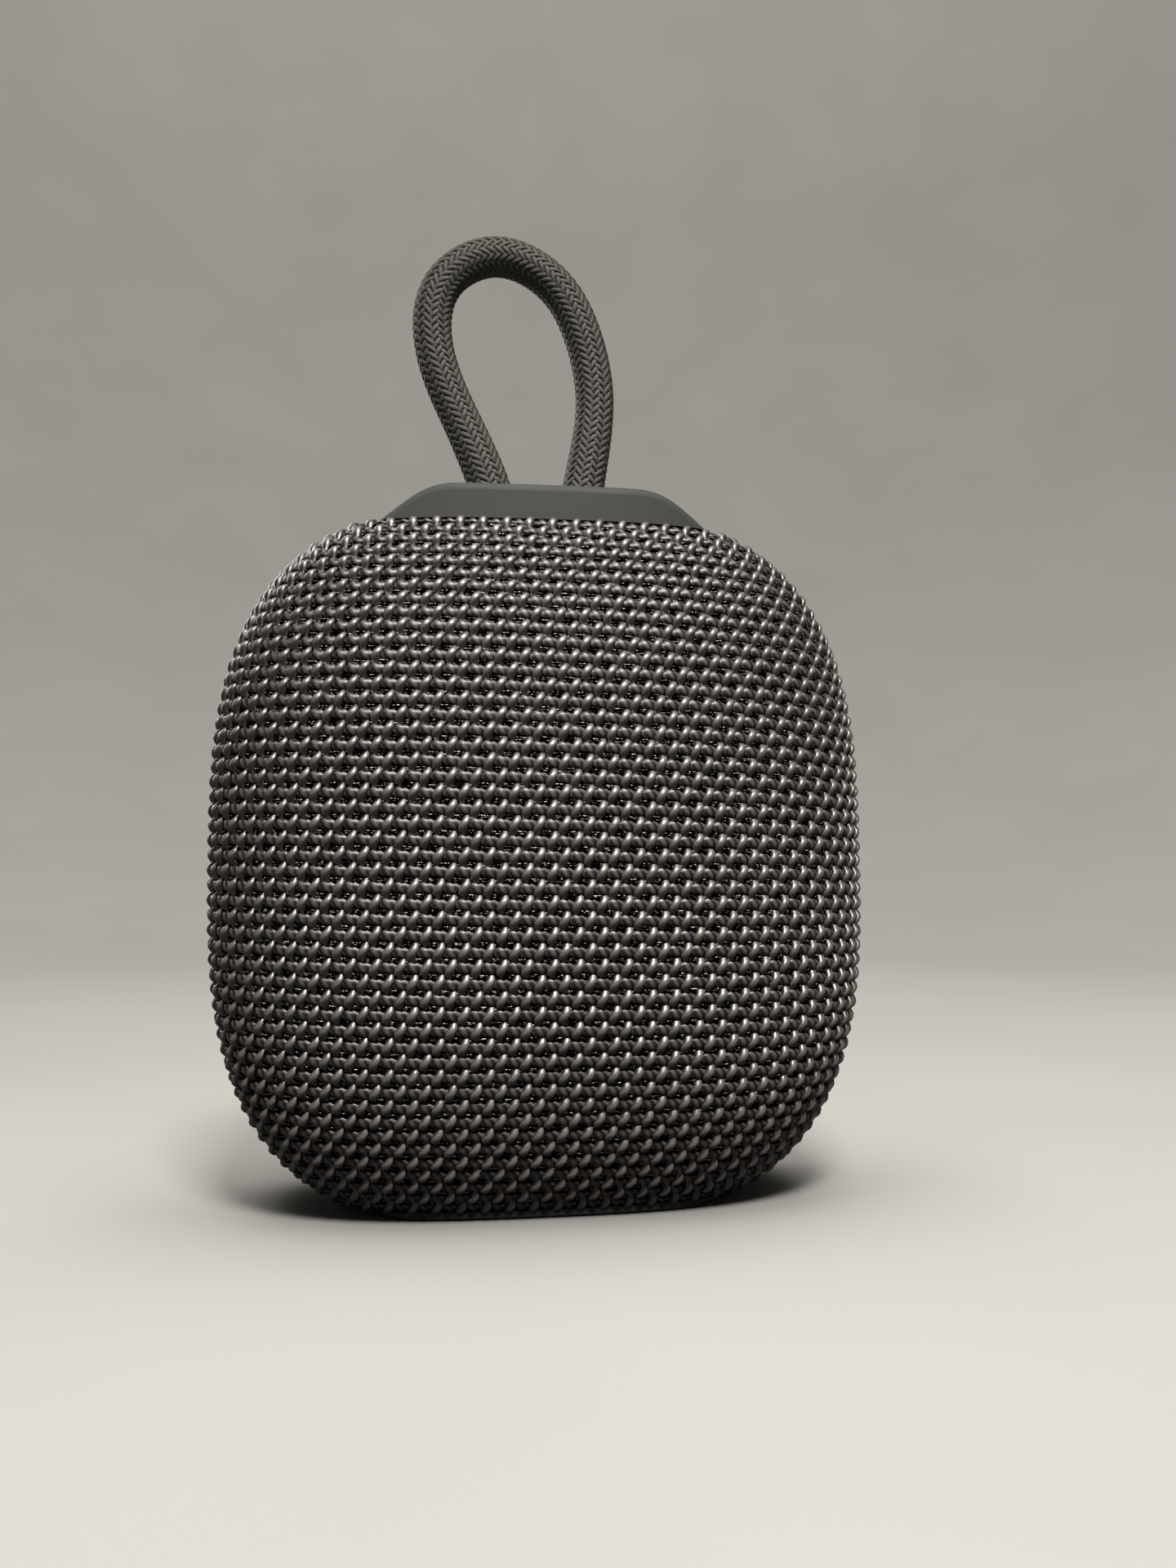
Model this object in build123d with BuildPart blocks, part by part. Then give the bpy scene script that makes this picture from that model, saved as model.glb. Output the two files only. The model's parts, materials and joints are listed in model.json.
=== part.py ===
from build123d import *

import os
from math import cos, pi, radians, sin

# Portable bluetooth speaker: a fabric-wrapped pillow body with a silicone saddle and a rope loop.
#
# Millimetres. The speaker stands upright on its silicone foot: +Z is up and the front faces -Y.
# The origin is the centre of the resting face. Heights in the code are measured from the middle
# of the body, and depths run from the front (negative) to the back (positive).

# Pillow body, to the outer face of the fabric
BODY_HALF_WIDTH = 47.4
BODY_HALF_HEIGHT = 52.4
BODY_HALF_DEPTH = 21.5
CORNER_POWER = 3.0  # squareness of the front outline
FRONT_POWER = 2.2  # how full the front is, 2 being elliptical
BACK_POWER = 4.0  # the back is flatter
FABRIC_EDGE = 48.0  # height of the fabric's top and bottom edges
OUTLINE_POINTS = 32
SECTION_STEP = 7  # degrees between the pillow's sections
SECTION_LIMIT = 84

# Layers, as insets from the fabric's outer face
FABRIC_THICKNESS = 1.3
SHELL_INSET = 1.4
GRILLE_INNER_INSET = 3.4
SHELL_INNER_INSET = 3.6
SHELL_FLAT = 47.9  # half height of the back shell's flat top and bottom
CAVITY_FLAT = 45.9
GAP = 0.05  # between neighbouring pieces

# Honeycomb of the front grille
GRILLE_CELL_PITCH = 6.4
GRILLE_WEB = 0.6
GRILLE_COLUMNS = 11
GRILLE_ROWS = 11

# Silicone saddle: cap, back band and foot in one moulding
SADDLE_HALF_WIDTH = 24.1
CAP_TOP = 53.3
CAP_HALF_FLAT = 13.1
CAP_SHOULDER = (18.0, 52.1)
CAP_SIDE_SLOPE = (0.85, -0.53)
FOOT_SIDE_SLOPE = (-0.85, -0.5)
FOOT_BOTTOM = -49.2
FOOT_HALF_FLAT = 18.0
SADDLE_BACK = 21.9
CAP_CURVE_DEPTH = 6.0  # where the cap's top starts to curve down to the back
CAP_CURVE_HEIGHT = 28.0
FOOT_CURVE_DEPTH = 8.0
FOOT_CURVE_HEIGHT = -29.0
SADDLE_EDGE_ROUND = 0.8
SADDLE_FRONT_EDGE = 3.0  # cap and foot edges lie further forward than this
CAP_ROUND = 1.2
FOOT_ROUND = 0.6

# Rope loop
ROPE_RADIUS = 3.05
ROPE_HOLE_RADIUS = 3.2
ROPE_X = 7.0
ROPE_Y = 6.5
ROPE_HINGE = CAP_TOP + 3.3  # where the loop bends over
KNUCKLE_RADIUS = 3.15
LOOP_LEFT = [(-11.5, 67.3), (-14.8, 75.0), (-16.2, 82.8), (-14.0, 90.1), (-6.1, 94.3)]
LOOP_RIGHT = [(2.1, 90.9), (6.3, 84.9), (8.6, 77.4), (9.0, 68.2)]

# Driver, on a front-to-back axis
DRIVER_HEIGHT = 6.0
BAFFLE_FRONT = -9.3
BAFFLE_BACK = -6.9
RIM = -6.5  # where the front grille meets the back shell
LEDGE_BACK = -4.5
BAFFLE_HALF_WIDTH = 37.5
BAFFLE_HALF_HEIGHT = 41.8
LEDGE_WIDTH = 2.0
GASKET_WIDTH = 1.6
DRIVER_HOLE_RADIUS = 21.8
FLANGE_RADIUS = 26.0
FLANGE_BACK = -9.75
FLANGE_FRONT = -10.9
DRIVER_SCREW_CIRCLE = 24.0
DRIVER_SCREW_TIP = -6.6
SURROUND_RADIUS = 21.8
LAND_WIDTH = 1.4
LAND_THICKNESS = 0.35
ROLL_WALL = 0.4
ROLL_RISE = 2.0
CONE_RADIUS = 17.5
CONE_FRONT = -9.9
CONE_WALL = 0.5
DOME_FRONT = -8.2
DOME_STEPS = 8
SPIDER_RADIUS = 17.5
SPIDER_SEAT = -3.6
SPIDER_THICKNESS = 0.35
SPIDER_WAVES = 3
SPIDER_WAVE_RISE = 0.5
BASKET_FLOOR = -1.5
WINDOW_CIRCLE = 14.2
WINDOW_LENGTH = 2.8
WINDOW_WIDTH = 6.0
WINDOW_COUNT = 6
STEEL = 1.2
CUP_FRONT = 2.1
CUP_BACK = 8.0
CUP_RADIUS = 12.0
COIL_RADIUS = 9.8
COIL_WALL = 0.6
COIL_SPACE = 0.8
COIL_FRONT = -6.0
COIL_BACK = 4.2
POLE_RADIUS = 8.6
POLE_FRONT = 1.6
MAGNET_RADIUS = 8.2
MAGNET_FRONT = 3.6

# Passive radiator in the back wall
PASSIVE_HEIGHT = 2.0
PASSIVE_SEAT = 17.4
PASSIVE_RADIUS = 21.5
PASSIVE_HOLE_RADIUS = 18.2
PASSIVE_PLATE_RADIUS = 13.6
PASSIVE_PLATE_FRONT = 16.6
PASSIVE_PLATE_BACK = 18.0
PASSIVE_ROLL_RADIUS = 17.9
PASSIVE_LAND_RADIUS = 20.5
PASSIVE_FRAME_BACK = 19.0
SEAT_WALL = 2.0
SEAT_FRONT = 15.6
SHELL_BACK_WALL = 18.0
SLOT_HEIGHT = 2.0
SLOT_PITCH = 4.6
SLOT_COUNT = 7
SLOT_FIELD_RADIUS = 16.5

# Screws
SCREW_RADIUS = 1.0
SCREW_HEAD_RADIUS = 1.8
SCREW_HEAD = 1.2
SCREW_FIT = 0.04
BOSS_RADIUS = 2.8
BAFFLE_SCREWS = [(-28.6, 28.6), (28.6, 28.6), (-34.0, 0), (34.0, 0), (-28.6, -28.6), (28.6, -28.6)]
BOSS_BACK = 0.0
BAFFLE_SCREW_TIP = -1.0
DRIVER_SCREWS = [
    (
        DRIVER_SCREW_CIRCLE * cos(radians(angle)),
        DRIVER_HEIGHT + DRIVER_SCREW_CIRCLE * sin(radians(angle)),
    )
    for angle in (45, 135, 225, 315)
]

# Battery, lying across the bottom
CELL_RADIUS = 9.0
CELL_LENGTH = 50.0
CELL_DEPTH = 5.0
CELL_HEIGHT = -29.0
CELL_AXIS = (CELL_DEPTH, CELL_HEIGHT)
CELL_TERMINAL_RADIUS = 3.0
CELL_TERMINAL = 0.8
CRADLE_HALF_LENGTH = 22.0
CRADLE_FRONT = 8.0
CRADLE_BOTTOM = -40.0
CRADLE_TOP = -22.0
PAD_X = 14.0
PAD_HALF_LENGTH = 5.0
PAD_HALF_HEIGHT = 4.0
PAD_WRAP = 0.8
LEAD_RADIUS = 0.6
BATTERY_LEAD = [(26.5, 5, -29), (32, 5, -24), (35, 4, 0), (30, 2, 26), (24.2, 0, 33.9)]
SPEAKER_LEAD = [(16.5, 6, 33.9), (16, 6, 28), (13, 4, 17), (11, 0.5, 15)]

# Main board, lying flat above the driver
BOARD_BOTTOM = 34.5
BOARD_TOP = 36.1
BOARD_HALF_WIDTH = 26.0
BOARD_FRONT = -3.0
BOARD_BACK = 13.0
BOARD_CORNER = 1.0
BOARD_CHAMFER = 1.2
BOARD_POST_X = 22.5
BOARD_POST_Y = 5.0
POST_RADIUS = 2.6
POST_BORE = 6.0

# Parts on the main board: (left, right) and (front, back) edges
CAN_SPAN, CAN_DEPTHS, CAN_RISE = (-9.0, 5.0), (-2.0, 8.5), 2.2
CHIP_SPAN, CHIP_DEPTHS, CHIP_RISE = (8.0, 13.0), (-1.6, 3.4), 1.0
INDUCTOR_SPAN, INDUCTOR_DEPTHS, INDUCTOR_RISE = (7.5, 12.5), (3.9, 8.9), 3.0
CAPACITOR_PLACES = [(-14.5, 1.0), (17.4, -0.1)]
CAPACITOR_RADIUS = 2.8
CAPACITOR_RISE = 4.2
LED_HALF_WIDTH = 1.1
LED_DEPTH = 1.0
LED_RISE = 1.7

# Key board under the cap
KEY_BOARD_BOTTOM = 41.9
KEY_BOARD_TOP = 42.9
KEY_BOARD_HALF_WIDTH = 18.0
KEY_BOARD_FRONT = -4.3
KEY_BOARD_BACK = 2.6
KEY_POST_X = 15.9
KEY_POST_Y = 0.6
KEY_POST_RADIUS = 1.6
KEY_Y = -1.0
KEY_PITCH = 12.0
KEY_LENGTH = 7.0
KEY_WIDTH = 4.6
KEY_PROUD = 0.3
KEY_HEAD_BOTTOM = 50.4
KEY_POCKET_BOTTOM = 49.7
STEM_RADIUS = 1.5
STEM_BOTTOM = 45.25
STEM_CLEARANCE = 0.05
ICON_RISE = 0.15
ICON_LENGTH = 2.2
ICON_WIDTH = 0.6
KEY_ROUND = 0.3
SWITCH_SIDE = 4.5
SWITCH_BODY = 1.6
SWITCH_BORE = 0.7  # the plungers sink this far into the switches
PLUNGER_RADIUS = 1.0
KEY_FIT = 0.1

RIBBON_HALF_WIDTH = 3.0
RIBBON_DEPTHS = (-2.9, -2.6)
MICROPHONE_X = 6.0
MICROPHONE_HALF_WIDTH = 1.7
MICROPHONE_HALF_DEPTH = 1.3
MICROPHONE_RISE = 1.0
SOUND_HOLE_RADIUS = 0.5

# Bar that anchors the rope under the top wall
ANCHOR_BOTTOM = 43.0
ANCHOR_TOP = 45.2
ANCHOR_HALF_WIDTH = 15.0
ANCHOR_HALF_DEPTH = 3.9
ANCHOR_SCREW_X = 12.6
ANCHOR_SCREW_TIP = 47.2
CRIMP_RADIUS = 3.6
CRIMP_BOTTOM = 40.9

# Rear controls and port
REAR_HEIGHT = 37.8
REAR_BUTTON_X = 15.0
REAR_BUTTON_RADIUS = 3.0
REAR_POCKET = 18.15
REAR_HEAD_FRONT = 19.5
REAR_STEM_FRONT = 13.75
REAR_PLUNGER_BACK = 13.7
PIPE_X = -10.4
PIPE_HEIGHT = 37.2
PIPE_RADIUS = 0.8
REAR_SWITCH_FRONT = 9.5
REAR_SWITCH_BACK = 13.0
PORT_WIDTH = 9.0
PORT_THICKNESS = 3.2
PORT_FRONT = 10.6
PORT_MOUTH = 17.6
PORT_WALL = 0.3
PORT_TONGUE_WIDTH = 6.6
PORT_TONGUE = 0.7
BEZEL_WIDTH = 17.4
BEZEL_BOTTOM = 32.4
BEZEL_TOP = 42.0
FLAP_WIDTH = 14.0
FLAP_TOP = 40.8
FLAP_FRONT = 19.3
FLAP_AXIS_HEIGHT = 34.3
FLAP_AXIS = (20.6, FLAP_AXIS_HEIGHT)
FLAP_BARREL_RADIUS = 1.1
FLAP_PIN_RADIUS = 0.5
FLAP_PIN_LENGTH = 16.4

CENTER = -FOOT_BOTTOM  # the body's middle above the resting face
FACE = Plane(origin=(0, 0, CENTER), x_dir=(1, 0, 0), z_dir=(0, -1, 0))
SIDE = Plane(origin=(0, 0, CENTER), x_dir=(0, 1, 0), z_dir=(1, 0, 0))
FAR = 80.0  # larger than the speaker, for cuts


def at_depth(depth):
    """Plane across the speaker at a depth, facing the front, with x right and y up."""
    return FACE.offset(-depth)


def at_height(height):
    """Level plane at a height above the body's middle, facing up."""
    return Plane.XY.offset(CENTER + height)


def point(x, depth, height):
    """A place in the speaker's frame."""
    return (x, depth, CENTER + height)


def rounded_square(half_width, half_height):
    """Points round the outline |x/w|^n + |z/h|^n = 1, at even angles."""
    points = []
    for step in range(OUTLINE_POINTS):
        angle = 2 * pi * step / OUTLINE_POINTS
        across = abs(cos(angle) / half_width) ** CORNER_POWER
        up = abs(sin(angle) / half_height) ** CORNER_POWER
        reach = (across + up) ** (-1 / CORNER_POWER)
        points.append((reach * cos(angle), reach * sin(angle)))
    return points


def rounded_plate(half_width, half_height, back, front, mode=Mode.ADD):
    """Flat plate with the body's outline between two depths."""
    with BuildSketch(at_depth(back)) as outline:
        with BuildLine():
            Spline(*rounded_square(half_width, half_height), periodic=True)
        make_face()
    extrude(outline.sketch, amount=back - front, mode=mode)


def pillow(inset):
    """The pillow body, drawn in by an inset: a loft of outlines from front to back."""
    half_width = BODY_HALF_WIDTH - inset
    half_height = BODY_HALF_HEIGHT - inset
    half_depth = BODY_HALF_DEPTH - inset
    with BuildPart() as body:
        for degrees in range(-SECTION_LIMIT, SECTION_LIMIT + 1, SECTION_STEP):
            angle = radians(degrees)
            power = FRONT_POWER if degrees < 0 else BACK_POWER
            reach = (abs(cos(angle)) ** power + abs(sin(angle)) ** power) ** (-1 / power)
            scale = reach * cos(angle)
            with BuildSketch(at_depth(half_depth * reach * sin(angle))):
                with BuildLine():
                    Spline(*rounded_square(half_width * scale, half_height * scale), periodic=True)
                make_face()
        loft()
    return body.part


def shell_form(inset, flat):
    """Pillow drawn in by an inset, with a flat top and bottom."""
    with BuildPart() as form:
        add(pillow(inset))
        block((-FAR, FAR), (-FAR, FAR), (-flat, flat), Mode.INTERSECT)
    return form.part


def shell_cavity():
    """Space inside the back shell, behind the baffle's ledge."""
    with BuildPart() as cavity:
        add(shell_form(SHELL_INNER_INSET, CAVITY_FLAT))
        block((-FAR, FAR), (-FAR, LEDGE_BACK), (-FAR, FAR), Mode.SUBTRACT)
    return cavity.part


def fabric_edge_depth(x):
    """Depth of the fabric's top edge at a distance from the middle."""
    across = (x / BODY_HALF_WIDTH) ** CORNER_POWER
    up = (FABRIC_EDGE / BODY_HALF_HEIGHT) ** CORNER_POWER
    scale = (across + up) ** (1 / CORNER_POWER)
    return -BODY_HALF_DEPTH * (1 - scale**FRONT_POWER) ** (1 / FRONT_POWER)


def saddle_form():
    """Outer form of the saddle, where its outlines from above, the front and the side overlap."""
    side_depth = fabric_edge_depth(SADDLE_HALF_WIDTH)
    edge = [SADDLE_HALF_WIDTH * sin(radians(angle)) for angle in range(-90, 91, 15)]
    with BuildPart() as form:
        with BuildSketch(at_height(FOOT_BOTTOM)):
            with BuildLine():
                Spline(*[(x, fabric_edge_depth(abs(x))) for x in edge])
                Line((SADDLE_HALF_WIDTH, side_depth), (SADDLE_HALF_WIDTH, FAR))
                Line((SADDLE_HALF_WIDTH, FAR), (-SADDLE_HALF_WIDTH, FAR))
                Line((-SADDLE_HALF_WIDTH, FAR), (-SADDLE_HALF_WIDTH, side_depth))
            make_face()
        extrude(amount=CAP_TOP - FOOT_BOTTOM)
        with BuildSketch(FACE):
            with BuildLine():
                Line((0, CAP_TOP), (CAP_HALF_FLAT, CAP_TOP))
                Spline(
                    (CAP_HALF_FLAT, CAP_TOP),
                    CAP_SHOULDER,
                    (SADDLE_HALF_WIDTH, FABRIC_EDGE),
                    tangents=((1, 0), CAP_SIDE_SLOPE),
                )
                Line((SADDLE_HALF_WIDTH, FABRIC_EDGE), (SADDLE_HALF_WIDTH, -FABRIC_EDGE))
                Spline(
                    (SADDLE_HALF_WIDTH, -FABRIC_EDGE),
                    (FOOT_HALF_FLAT, FOOT_BOTTOM),
                    tangents=(FOOT_SIDE_SLOPE, (-1, 0)),
                )
                Line((FOOT_HALF_FLAT, FOOT_BOTTOM), (0, FOOT_BOTTOM))
                mirror(about=Plane.YZ)
            make_face()
        extrude(amount=FAR, both=True, mode=Mode.INTERSECT)
        with BuildSketch(SIDE):
            with BuildLine():
                Line((-FAR, CAP_TOP), (CAP_CURVE_DEPTH, CAP_TOP))
                EllipticalCenterArc(
                    (CAP_CURVE_DEPTH, CAP_CURVE_HEIGHT),
                    SADDLE_BACK - CAP_CURVE_DEPTH,
                    CAP_TOP - CAP_CURVE_HEIGHT,
                    start_angle=0,
                )
                Line((SADDLE_BACK, CAP_CURVE_HEIGHT), (SADDLE_BACK, FOOT_CURVE_HEIGHT))
                EllipticalCenterArc(
                    (FOOT_CURVE_DEPTH, FOOT_CURVE_HEIGHT),
                    SADDLE_BACK - FOOT_CURVE_DEPTH,
                    FOOT_CURVE_HEIGHT - FOOT_BOTTOM,
                    start_angle=270,
                )
                Line((FOOT_CURVE_DEPTH, FOOT_BOTTOM), (-FAR, FOOT_BOTTOM))
                Line((-FAR, FOOT_BOTTOM), (-FAR, CAP_TOP))
            make_face()
        extrude(amount=FAR, both=True, mode=Mode.INTERSECT)
        front_edges = form.edges().filter_by(lambda edge: edge.center().Y < -SADDLE_FRONT_EDGE)
        cap_edges = front_edges.filter_by(lambda edge: edge.center().Z > CENTER + FABRIC_EDGE)
        foot_edges = front_edges.filter_by(lambda edge: edge.center().Z < CENTER - FABRIC_EDGE)
        side_edges = form.edges().filter_by(
            lambda edge: abs(edge.center().X) > SADDLE_HALF_WIDTH - GAP
            and edge.center().Y > CAP_CURVE_DEPTH + SADDLE_FRONT_EDGE
        )
        fillet(cap_edges, CAP_ROUND)
        fillet(foot_edges, FOOT_ROUND)
        fillet(side_edges, SADDLE_EDGE_ROUND)
    return form.part


def turn(outline, height, mode=Mode.ADD):
    """Revolve an outline of (radius, depth) points about the front-to-back axis at a height."""
    with BuildSketch(at_height(height)) as profile:
        with BuildLine():
            Polyline(*outline, close=True)
        make_face()
    revolve(profile.sketch, axis=Axis(point(0, 0, height), (0, 1, 0)), mode=mode)


def ring(inner, outer, front, back, height, mode=Mode.ADD):
    """Flat ring, or a disc when the inner radius is 0, on the front-to-back axis."""
    turn([(inner, front), (outer, front), (outer, back), (inner, back)], height, mode)


def half_roll(inner, outer, front, rise, height):
    """Thin ring that bulges towards the front between its edges."""
    middle = (inner + outer) / 2
    with BuildSketch(at_height(height)) as profile:
        with BuildLine():
            ThreePointArc((inner, front), (middle, front - rise), (outer, front))
            Line((outer, front), (outer - ROLL_WALL, front))
            ThreePointArc(
                (outer - ROLL_WALL, front),
                (middle, front - rise + ROLL_WALL),
                (inner + ROLL_WALL, front),
            )
            Line((inner + ROLL_WALL, front), (inner, front))
        make_face()
    revolve(profile.sketch, axis=Axis(point(0, 0, height), (0, 1, 0)))


def block(x_range, depth_range, height_range, mode=Mode.ADD):
    """Rectangular block between two places on each axis."""
    (left, right), (front, back), (low, high) = x_range, depth_range, height_range
    with BuildSketch(at_height(low)) as base:
        with Locations(((left + right) / 2, (front + back) / 2)):
            Rectangle(right - left, back - front)
    extrude(base.sketch, amount=high - low, mode=mode)


def pins_down(places, radius, low, high, mode=Mode.ADD):
    """Upright cylinders between two heights at (x, depth) places."""
    with BuildSketch(at_height(low)) as discs:
        with Locations(*places):
            Circle(radius)
    extrude(discs.sketch, amount=high - low, mode=mode)


def pins_back(places, radius, front, back, mode=Mode.ADD):
    """Front-to-back cylinders between two depths at (x, height) places."""
    with BuildSketch(at_depth(back)) as discs:
        with Locations(*places):
            Circle(radius)
    extrude(discs.sketch, amount=back - front, mode=mode)


def crosswise(axis, radius, length, mode=Mode.ADD):
    """Cylinder along X, centred on the middle, about a (depth, height) axis."""
    with BuildSketch(SIDE.offset(-length / 2)) as disc:
        with Locations(axis):
            Circle(radius)
    extrude(disc.sketch, amount=length, mode=mode)


def cord(places, radius):
    """Round cord swept along a smooth path through (x, depth, height) places."""
    with BuildLine() as path:
        Spline(*[point(*place) for place in places])
    with BuildSketch(Plane(origin=path.line @ 0, z_dir=path.line % 0)) as section:
        Circle(radius)
    sweep(section.sketch, path=path.line)


def save(piece, label):
    """Label a finished piece and write its file."""
    piece.part.label = label
    export_step(piece.part, f"parts/{label}.step")


os.makedirs("parts", exist_ok=True)

SADDLE = saddle_form()

# ---------------------------------------------------------------- outer layers

with BuildPart() as fabric_sleeve:
    add(pillow(0))
    add(pillow(FABRIC_THICKNESS), mode=Mode.SUBTRACT)
    block((-FAR, FAR), (-FAR, FAR), (FABRIC_EDGE, FAR), Mode.SUBTRACT)
    block((-FAR, FAR), (-FAR, FAR), (-FAR, -FABRIC_EDGE), Mode.SUBTRACT)
    band = SADDLE_HALF_WIDTH + GAP
    block((-band, band), (0, FAR), (-FAR, FAR), Mode.SUBTRACT)
save(fabric_sleeve, "fabric_sleeve")

with BuildPart() as front_grille:
    add(pillow(SHELL_INSET))
    add(pillow(GRILLE_INNER_INSET), mode=Mode.SUBTRACT)
    block((-FAR, FAR), (RIM - GAP, FAR), (-FAR, FAR), Mode.SUBTRACT)
    block((-FAR, FAR), (-FAR, FAR), (FABRIC_EDGE, FAR), Mode.SUBTRACT)
    block((-FAR, FAR), (-FAR, FAR), (-FAR, -FABRIC_EDGE), Mode.SUBTRACT)
    with BuildSketch(at_depth(RIM)) as openings:
        with HexLocations(GRILLE_CELL_PITCH / 2, GRILLE_COLUMNS, GRILLE_ROWS):
            RegularPolygon(GRILLE_CELL_PITCH / 2 - GRILLE_WEB, 6, major_radius=False)
    extrude(openings.sketch, amount=FAR, mode=Mode.SUBTRACT)
save(front_grille, "front_grille")

KEYS = [("minus", -KEY_PITCH), ("play", 0), ("plus", KEY_PITCH)]
REAR_KEYS = [("power", -REAR_BUTTON_X), ("pairing", REAR_BUTTON_X)]
key_places = [(x, KEY_Y) for _, x in KEYS]
rope_places = [(-ROPE_X, ROPE_Y), (ROPE_X, ROPE_Y)]
rear_places = [(x, REAR_HEIGHT) for _, x in REAR_KEYS]
board_posts = [(-BOARD_POST_X, BOARD_POST_Y), (BOARD_POST_X, BOARD_POST_Y)]
key_posts = [(-KEY_POST_X, KEY_POST_Y), (KEY_POST_X, KEY_POST_Y)]
anchor_screw_places = [(-ANCHOR_SCREW_X, ROPE_Y), (0, ROPE_Y), (ANCHOR_SCREW_X, ROPE_Y)]

with BuildPart() as back_shell:
    add(shell_form(SHELL_INSET, SHELL_FLAT))
    block((-FAR, FAR), (-FAR, RIM), (-FAR, FAR), Mode.SUBTRACT)
    add(shell_cavity(), mode=Mode.SUBTRACT)
    ledge = (BAFFLE_HALF_WIDTH - LEDGE_WIDTH, BAFFLE_HALF_HEIGHT - LEDGE_WIDTH)
    rounded_plate(*ledge, LEDGE_BACK, RIM, Mode.SUBTRACT)
    # bosses for the baffle's screws
    pins_back(BAFFLE_SCREWS, BOSS_RADIUS, RIM, BOSS_BACK)
    pins_back(BAFFLE_SCREWS, SCREW_RADIUS + SCREW_FIT, RIM, BOSS_BACK, Mode.SUBTRACT)
    # posts that hang the two boards from the top wall
    pins_down(board_posts, POST_RADIUS, BOARD_TOP + GAP, CAVITY_FLAT + GAP)
    pins_down(board_posts, SCREW_RADIUS + SCREW_FIT, BOARD_TOP, BOARD_TOP + POST_BORE, Mode.SUBTRACT)
    pins_down(key_posts, KEY_POST_RADIUS, KEY_BOARD_TOP + GAP, CAVITY_FLAT + GAP)
    pins_down(key_posts, SCREW_RADIUS + SCREW_FIT, KEY_BOARD_TOP, SHELL_FLAT - GAP, Mode.SUBTRACT)
    # seat for the passive radiator
    seat = PASSIVE_RADIUS + SEAT_WALL
    ring(PASSIVE_HOLE_RADIUS, seat, SEAT_FRONT, SHELL_BACK_WALL, PASSIVE_HEIGHT)
    ring(0, PASSIVE_HOLE_RADIUS, SEAT_FRONT - GAP, FAR, PASSIVE_HEIGHT, Mode.SUBTRACT)
    ring(0, PASSIVE_RADIUS + GAP, PASSIVE_SEAT, FAR, PASSIVE_HEIGHT, Mode.SUBTRACT)
    # holes in the top wall: key stems, rope, anchor screws and microphone
    pins_down(key_places, STEM_RADIUS + KEY_FIT, KEY_BOARD_TOP, FAR, Mode.SUBTRACT)
    pins_down(rope_places, ROPE_HOLE_RADIUS, KEY_BOARD_TOP, FAR, Mode.SUBTRACT)
    pins_down(anchor_screw_places, SCREW_RADIUS + SCREW_FIT, ANCHOR_TOP, SHELL_FLAT - GAP, Mode.SUBTRACT)
    pins_down([(MICROPHONE_X, KEY_Y)], SOUND_HOLE_RADIUS, KEY_BOARD_TOP, FAR, Mode.SUBTRACT)
    # holes in the back wall: port, rear key stems and light pipe
    port_half = PORT_WIDTH / 2 + KEY_FIT
    port_rise = PORT_THICKNESS / 2 + KEY_FIT
    port_heights = (REAR_HEIGHT - port_rise, REAR_HEIGHT + port_rise)
    block((-port_half, port_half), (BOARD_BACK, FAR), port_heights, Mode.SUBTRACT)
    pins_back(rear_places, STEM_RADIUS + KEY_FIT, BOARD_BACK, FAR, Mode.SUBTRACT)
    pins_back([(PIPE_X, PIPE_HEIGHT)], PIPE_RADIUS + GAP, BOARD_BACK, FAR, Mode.SUBTRACT)
save(back_shell, "back_shell")

with BuildPart() as silicone_saddle:
    add(SADDLE)
    edge = FABRIC_EDGE + GAP
    block((-FAR, FAR), (-FAR, 0), (-edge, edge), Mode.SUBTRACT)
    add(shell_form(SHELL_INSET - GAP, SHELL_FLAT + GAP), mode=Mode.SUBTRACT)
    # pockets and stem holes of the three top buttons
    with BuildSketch(at_height(KEY_POCKET_BOTTOM)) as pockets:
        with Locations(*key_places):
            SlotOverall(KEY_LENGTH + 2 * KEY_FIT, KEY_WIDTH + 2 * KEY_FIT)
    extrude(pockets.sketch, amount=FAR, mode=Mode.SUBTRACT)
    pins_down(key_places, STEM_RADIUS + KEY_FIT, SHELL_FLAT, FAR, Mode.SUBTRACT)
    pins_down(rope_places, ROPE_HOLE_RADIUS, SHELL_FLAT, FAR, Mode.SUBTRACT)
    pins_down([(MICROPHONE_X, KEY_Y)], SOUND_HOLE_RADIUS, SHELL_FLAT, FAR, Mode.SUBTRACT)
    # rear buttons, light pipe and port bezel
    pins_back(rear_places, REAR_BUTTON_RADIUS + KEY_FIT, REAR_POCKET, FAR, Mode.SUBTRACT)
    pins_back(rear_places, STEM_RADIUS + KEY_FIT, BOARD_BACK, FAR, Mode.SUBTRACT)
    pins_back([(PIPE_X, PIPE_HEIGHT)], PIPE_RADIUS + GAP, BOARD_BACK, FAR, Mode.SUBTRACT)
    half = BEZEL_WIDTH / 2 + GAP
    block((-half, half), (BOARD_BACK, FAR), (BEZEL_BOTTOM - GAP, BEZEL_TOP + GAP), Mode.SUBTRACT)
    # slots over the passive radiator, each as long as its chord of a circle
    for row in range(SLOT_COUNT):
        offset = (row - (SLOT_COUNT - 1) / 2) * SLOT_PITCH
        length = 2 * (SLOT_FIELD_RADIUS**2 - offset**2) ** 0.5
        with BuildSketch(at_depth(SHELL_BACK_WALL)) as slot:
            with Locations((0, PASSIVE_HEIGHT + offset)):
                SlotOverall(length, SLOT_HEIGHT)
        extrude(slot.sketch, amount=-FAR, mode=Mode.SUBTRACT)
save(silicone_saddle, "silicone_saddle")

# ---------------------------------------------------------------- baffle

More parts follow.
